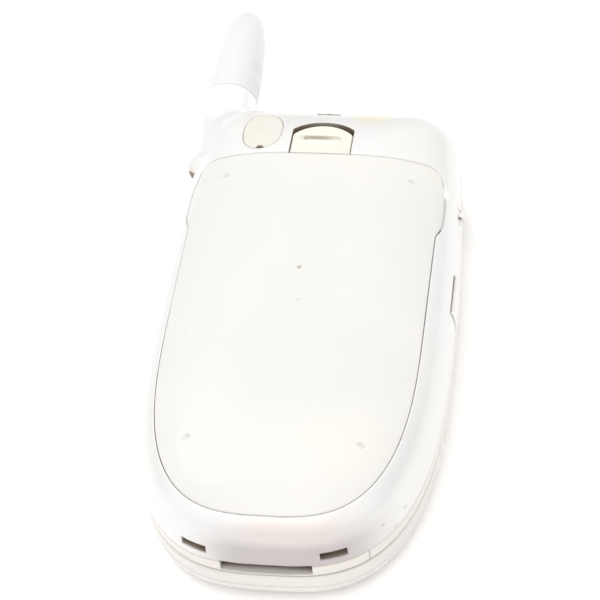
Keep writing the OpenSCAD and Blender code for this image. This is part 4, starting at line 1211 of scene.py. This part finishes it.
for name, (c, r) in KEYS.items():
    cx, cy = -(c - 1) * 12.5, -4.6 - r * 7.8
    o = put(name + "_top", cap_mesh)
    o.location = (cx / 1000, cy / 1000, 0)
    if not cap_mesh.materials:
        cap_mesh.materials.append(m_key)
    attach(o, name + "_cap")
    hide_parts(name)
    sign = SIGNS.get(name, name[-1])
    printed(name + "_digit", sign, 4.4 if sign != "*" else 6.0, cx, cy, 6.755, name + "_cap", m_print)

for name, sx, mat in (("key_left", 1, m_key_go), ("key_right", -1, m_key_end)):
    form = key_form(6, 11, 0.12)
    o = formed(name + "_top", lambda x, y, z, s=sx, g=form: g(x - s * 15.2, y - 14.5, z), (sx * 15.2 - 4, 8, 6.2),
               (sx * 15.2 + 4, 21, 8.7), 0.16)
    ready(o, name + "_cap", mat, [name])

ready(formed("nav_ring_top", nav_form, (-10.5, 4, 6.3), (10.5, 25, 8.7), 0.16), "nav_ring", m_key,
      ["key_nav"])
ready(formed("key_ok_top", ok_form, (-5, 9.5, 6.3), (5, 19.5, 8.7), 0.16), "key_ok_cap", m_key,
      ["key_ok"])

# -------------------------------------------------------------------------------- stage

fl = bpy.data.meshes.new("table")
S = 2.5
fl.from_pydata([(-S, -S, -0.00004), (S, -S, -0.00004), (S, S, -0.00004), (-S, S, -0.00004)], [], [(0, 1, 2, 3)])
floor = put("table", fl)
t = Mat("table_paper", (0.965, 0.96, 0.955), 0.6, spec=0.25)
t.tint(t.ramp(t.noise(0.02, 3), 0.4, 0.7, 0, 0.3), (0.975, 0.975, 0.97))
fl.materials.append(t.done())

world = bpy.data.worlds.new("studio")
scene.world = world
world.use_nodes = True
wn, wl = world.node_tree.nodes, world.node_tree.links
bg = wn["Background"]
tc = wn.new("ShaderNodeTexCoord")


def wmath(op, a, b=None, c=None):
    n = wn.new("ShaderNodeMath")
    n.operation = op
    for i, v in enumerate((a, b, c)):
        if v is None:
            continue
        if isinstance(v, (int, float)):
            n.inputs[i].default_value = v
        else:
            wl.new(v, n.inputs[i])
    return n.outputs[0]


def lobe(direction, lo, hi):
    """A soft patch of sky around a direction, 1 in its middle."""
    d = Vector(direction).normalized()
    n = wn.new("ShaderNodeVectorMath")
    n.operation = "DOT_PRODUCT"
    wl.new(tc.outputs["Generated"], n.inputs[0])
    n.inputs[1].default_value = d
    r = wn.new("ShaderNodeMapRange")
    r.interpolation_type = "SMOOTHSTEP"
    wl.new(n.outputs["Value"], r.inputs["Value"])
    r.inputs["From Min"].default_value = lo
    r.inputs["From Max"].default_value = hi
    return r.outputs[0]


def towards(az, el):
    """Direction at azimuth az from +Y towards +X and elevation el, in degrees."""
    a, e = math.radians(az), math.radians(el)
    return (math.sin(a) * math.cos(e), math.cos(a) * math.cos(e), math.sin(e))


split = wn.new("ShaderNodeSeparateXYZ")
wl.new(tc.outputs["Generated"], split.inputs[0])
height = wmath("MAXIMUM", split.outputs["Z"], 0.0)
front_warm = lobe(towards(180, 20), 0.80, 0.98)
level = wmath("ADD", wmath("MULTIPLY", wmath("MULTIPLY", height, height), 1.35), 0.47)
for az, el, lo, hi, k in ((180, 54, 0.88, 0.98, 0.85), (180, 25, 0.78, 0.97, 0.38), (125, 10, 0.84, 0.97, 0.42), (125, 30, 0.86, 0.97, 0.12),
                          (-125, 30, 0.86, 0.97, 0.08), (-125, 10, 0.84, 0.97, 0.5),
                          (80, 5, 0.6, 0.97, 0.12), (-70, 5, 0.6, 0.97, 0.25), (30, 12, 0.80, 0.97, 0.35),
                          (-30, 25, 0.80, 0.97, 0.2)):
    level = wmath("ADD", level, wmath("MULTIPLY", lobe(towards(az, el), lo, hi), k))
wl.new(level, bg.inputs["Strength"])
tone = wn.new("ShaderNodeMix")
tone.data_type = "RGBA"
wl.new(front_warm, tone.inputs[0])
tone.inputs[6].default_value = (1.0, 0.995, 0.985, 1)
tone.inputs[7].default_value = (1.0, 0.94, 0.89, 1)
wl.new(tone.outputs[2], bg.inputs["Color"])


def area(name, at, aim, size, power, color=(1, 1, 1)):
    d = bpy.data.lights.new(name, "AREA")
    d.shape = "DISK"
    d.size = size
    d.energy = power
    d.color = color
    o = bpy.data.objects.new(name, d)
    o.location = at
    o.rotation_mode = "QUATERNION"
    o.rotation_quaternion = (Vector(aim) - Vector(at)).to_track_quat("-Z", "Y")
    scene.collection.objects.link(o)
    return o


area("key_softbox", (-0.45, 0.30, 0.95), (0, 0, 0), 0.8, 1.6)

scene.view_settings.view_transform = "Standard"
scene.view_settings.look = "None"
scene.view_settings.exposure = 0.0
scene.view_settings.gamma = 1.0
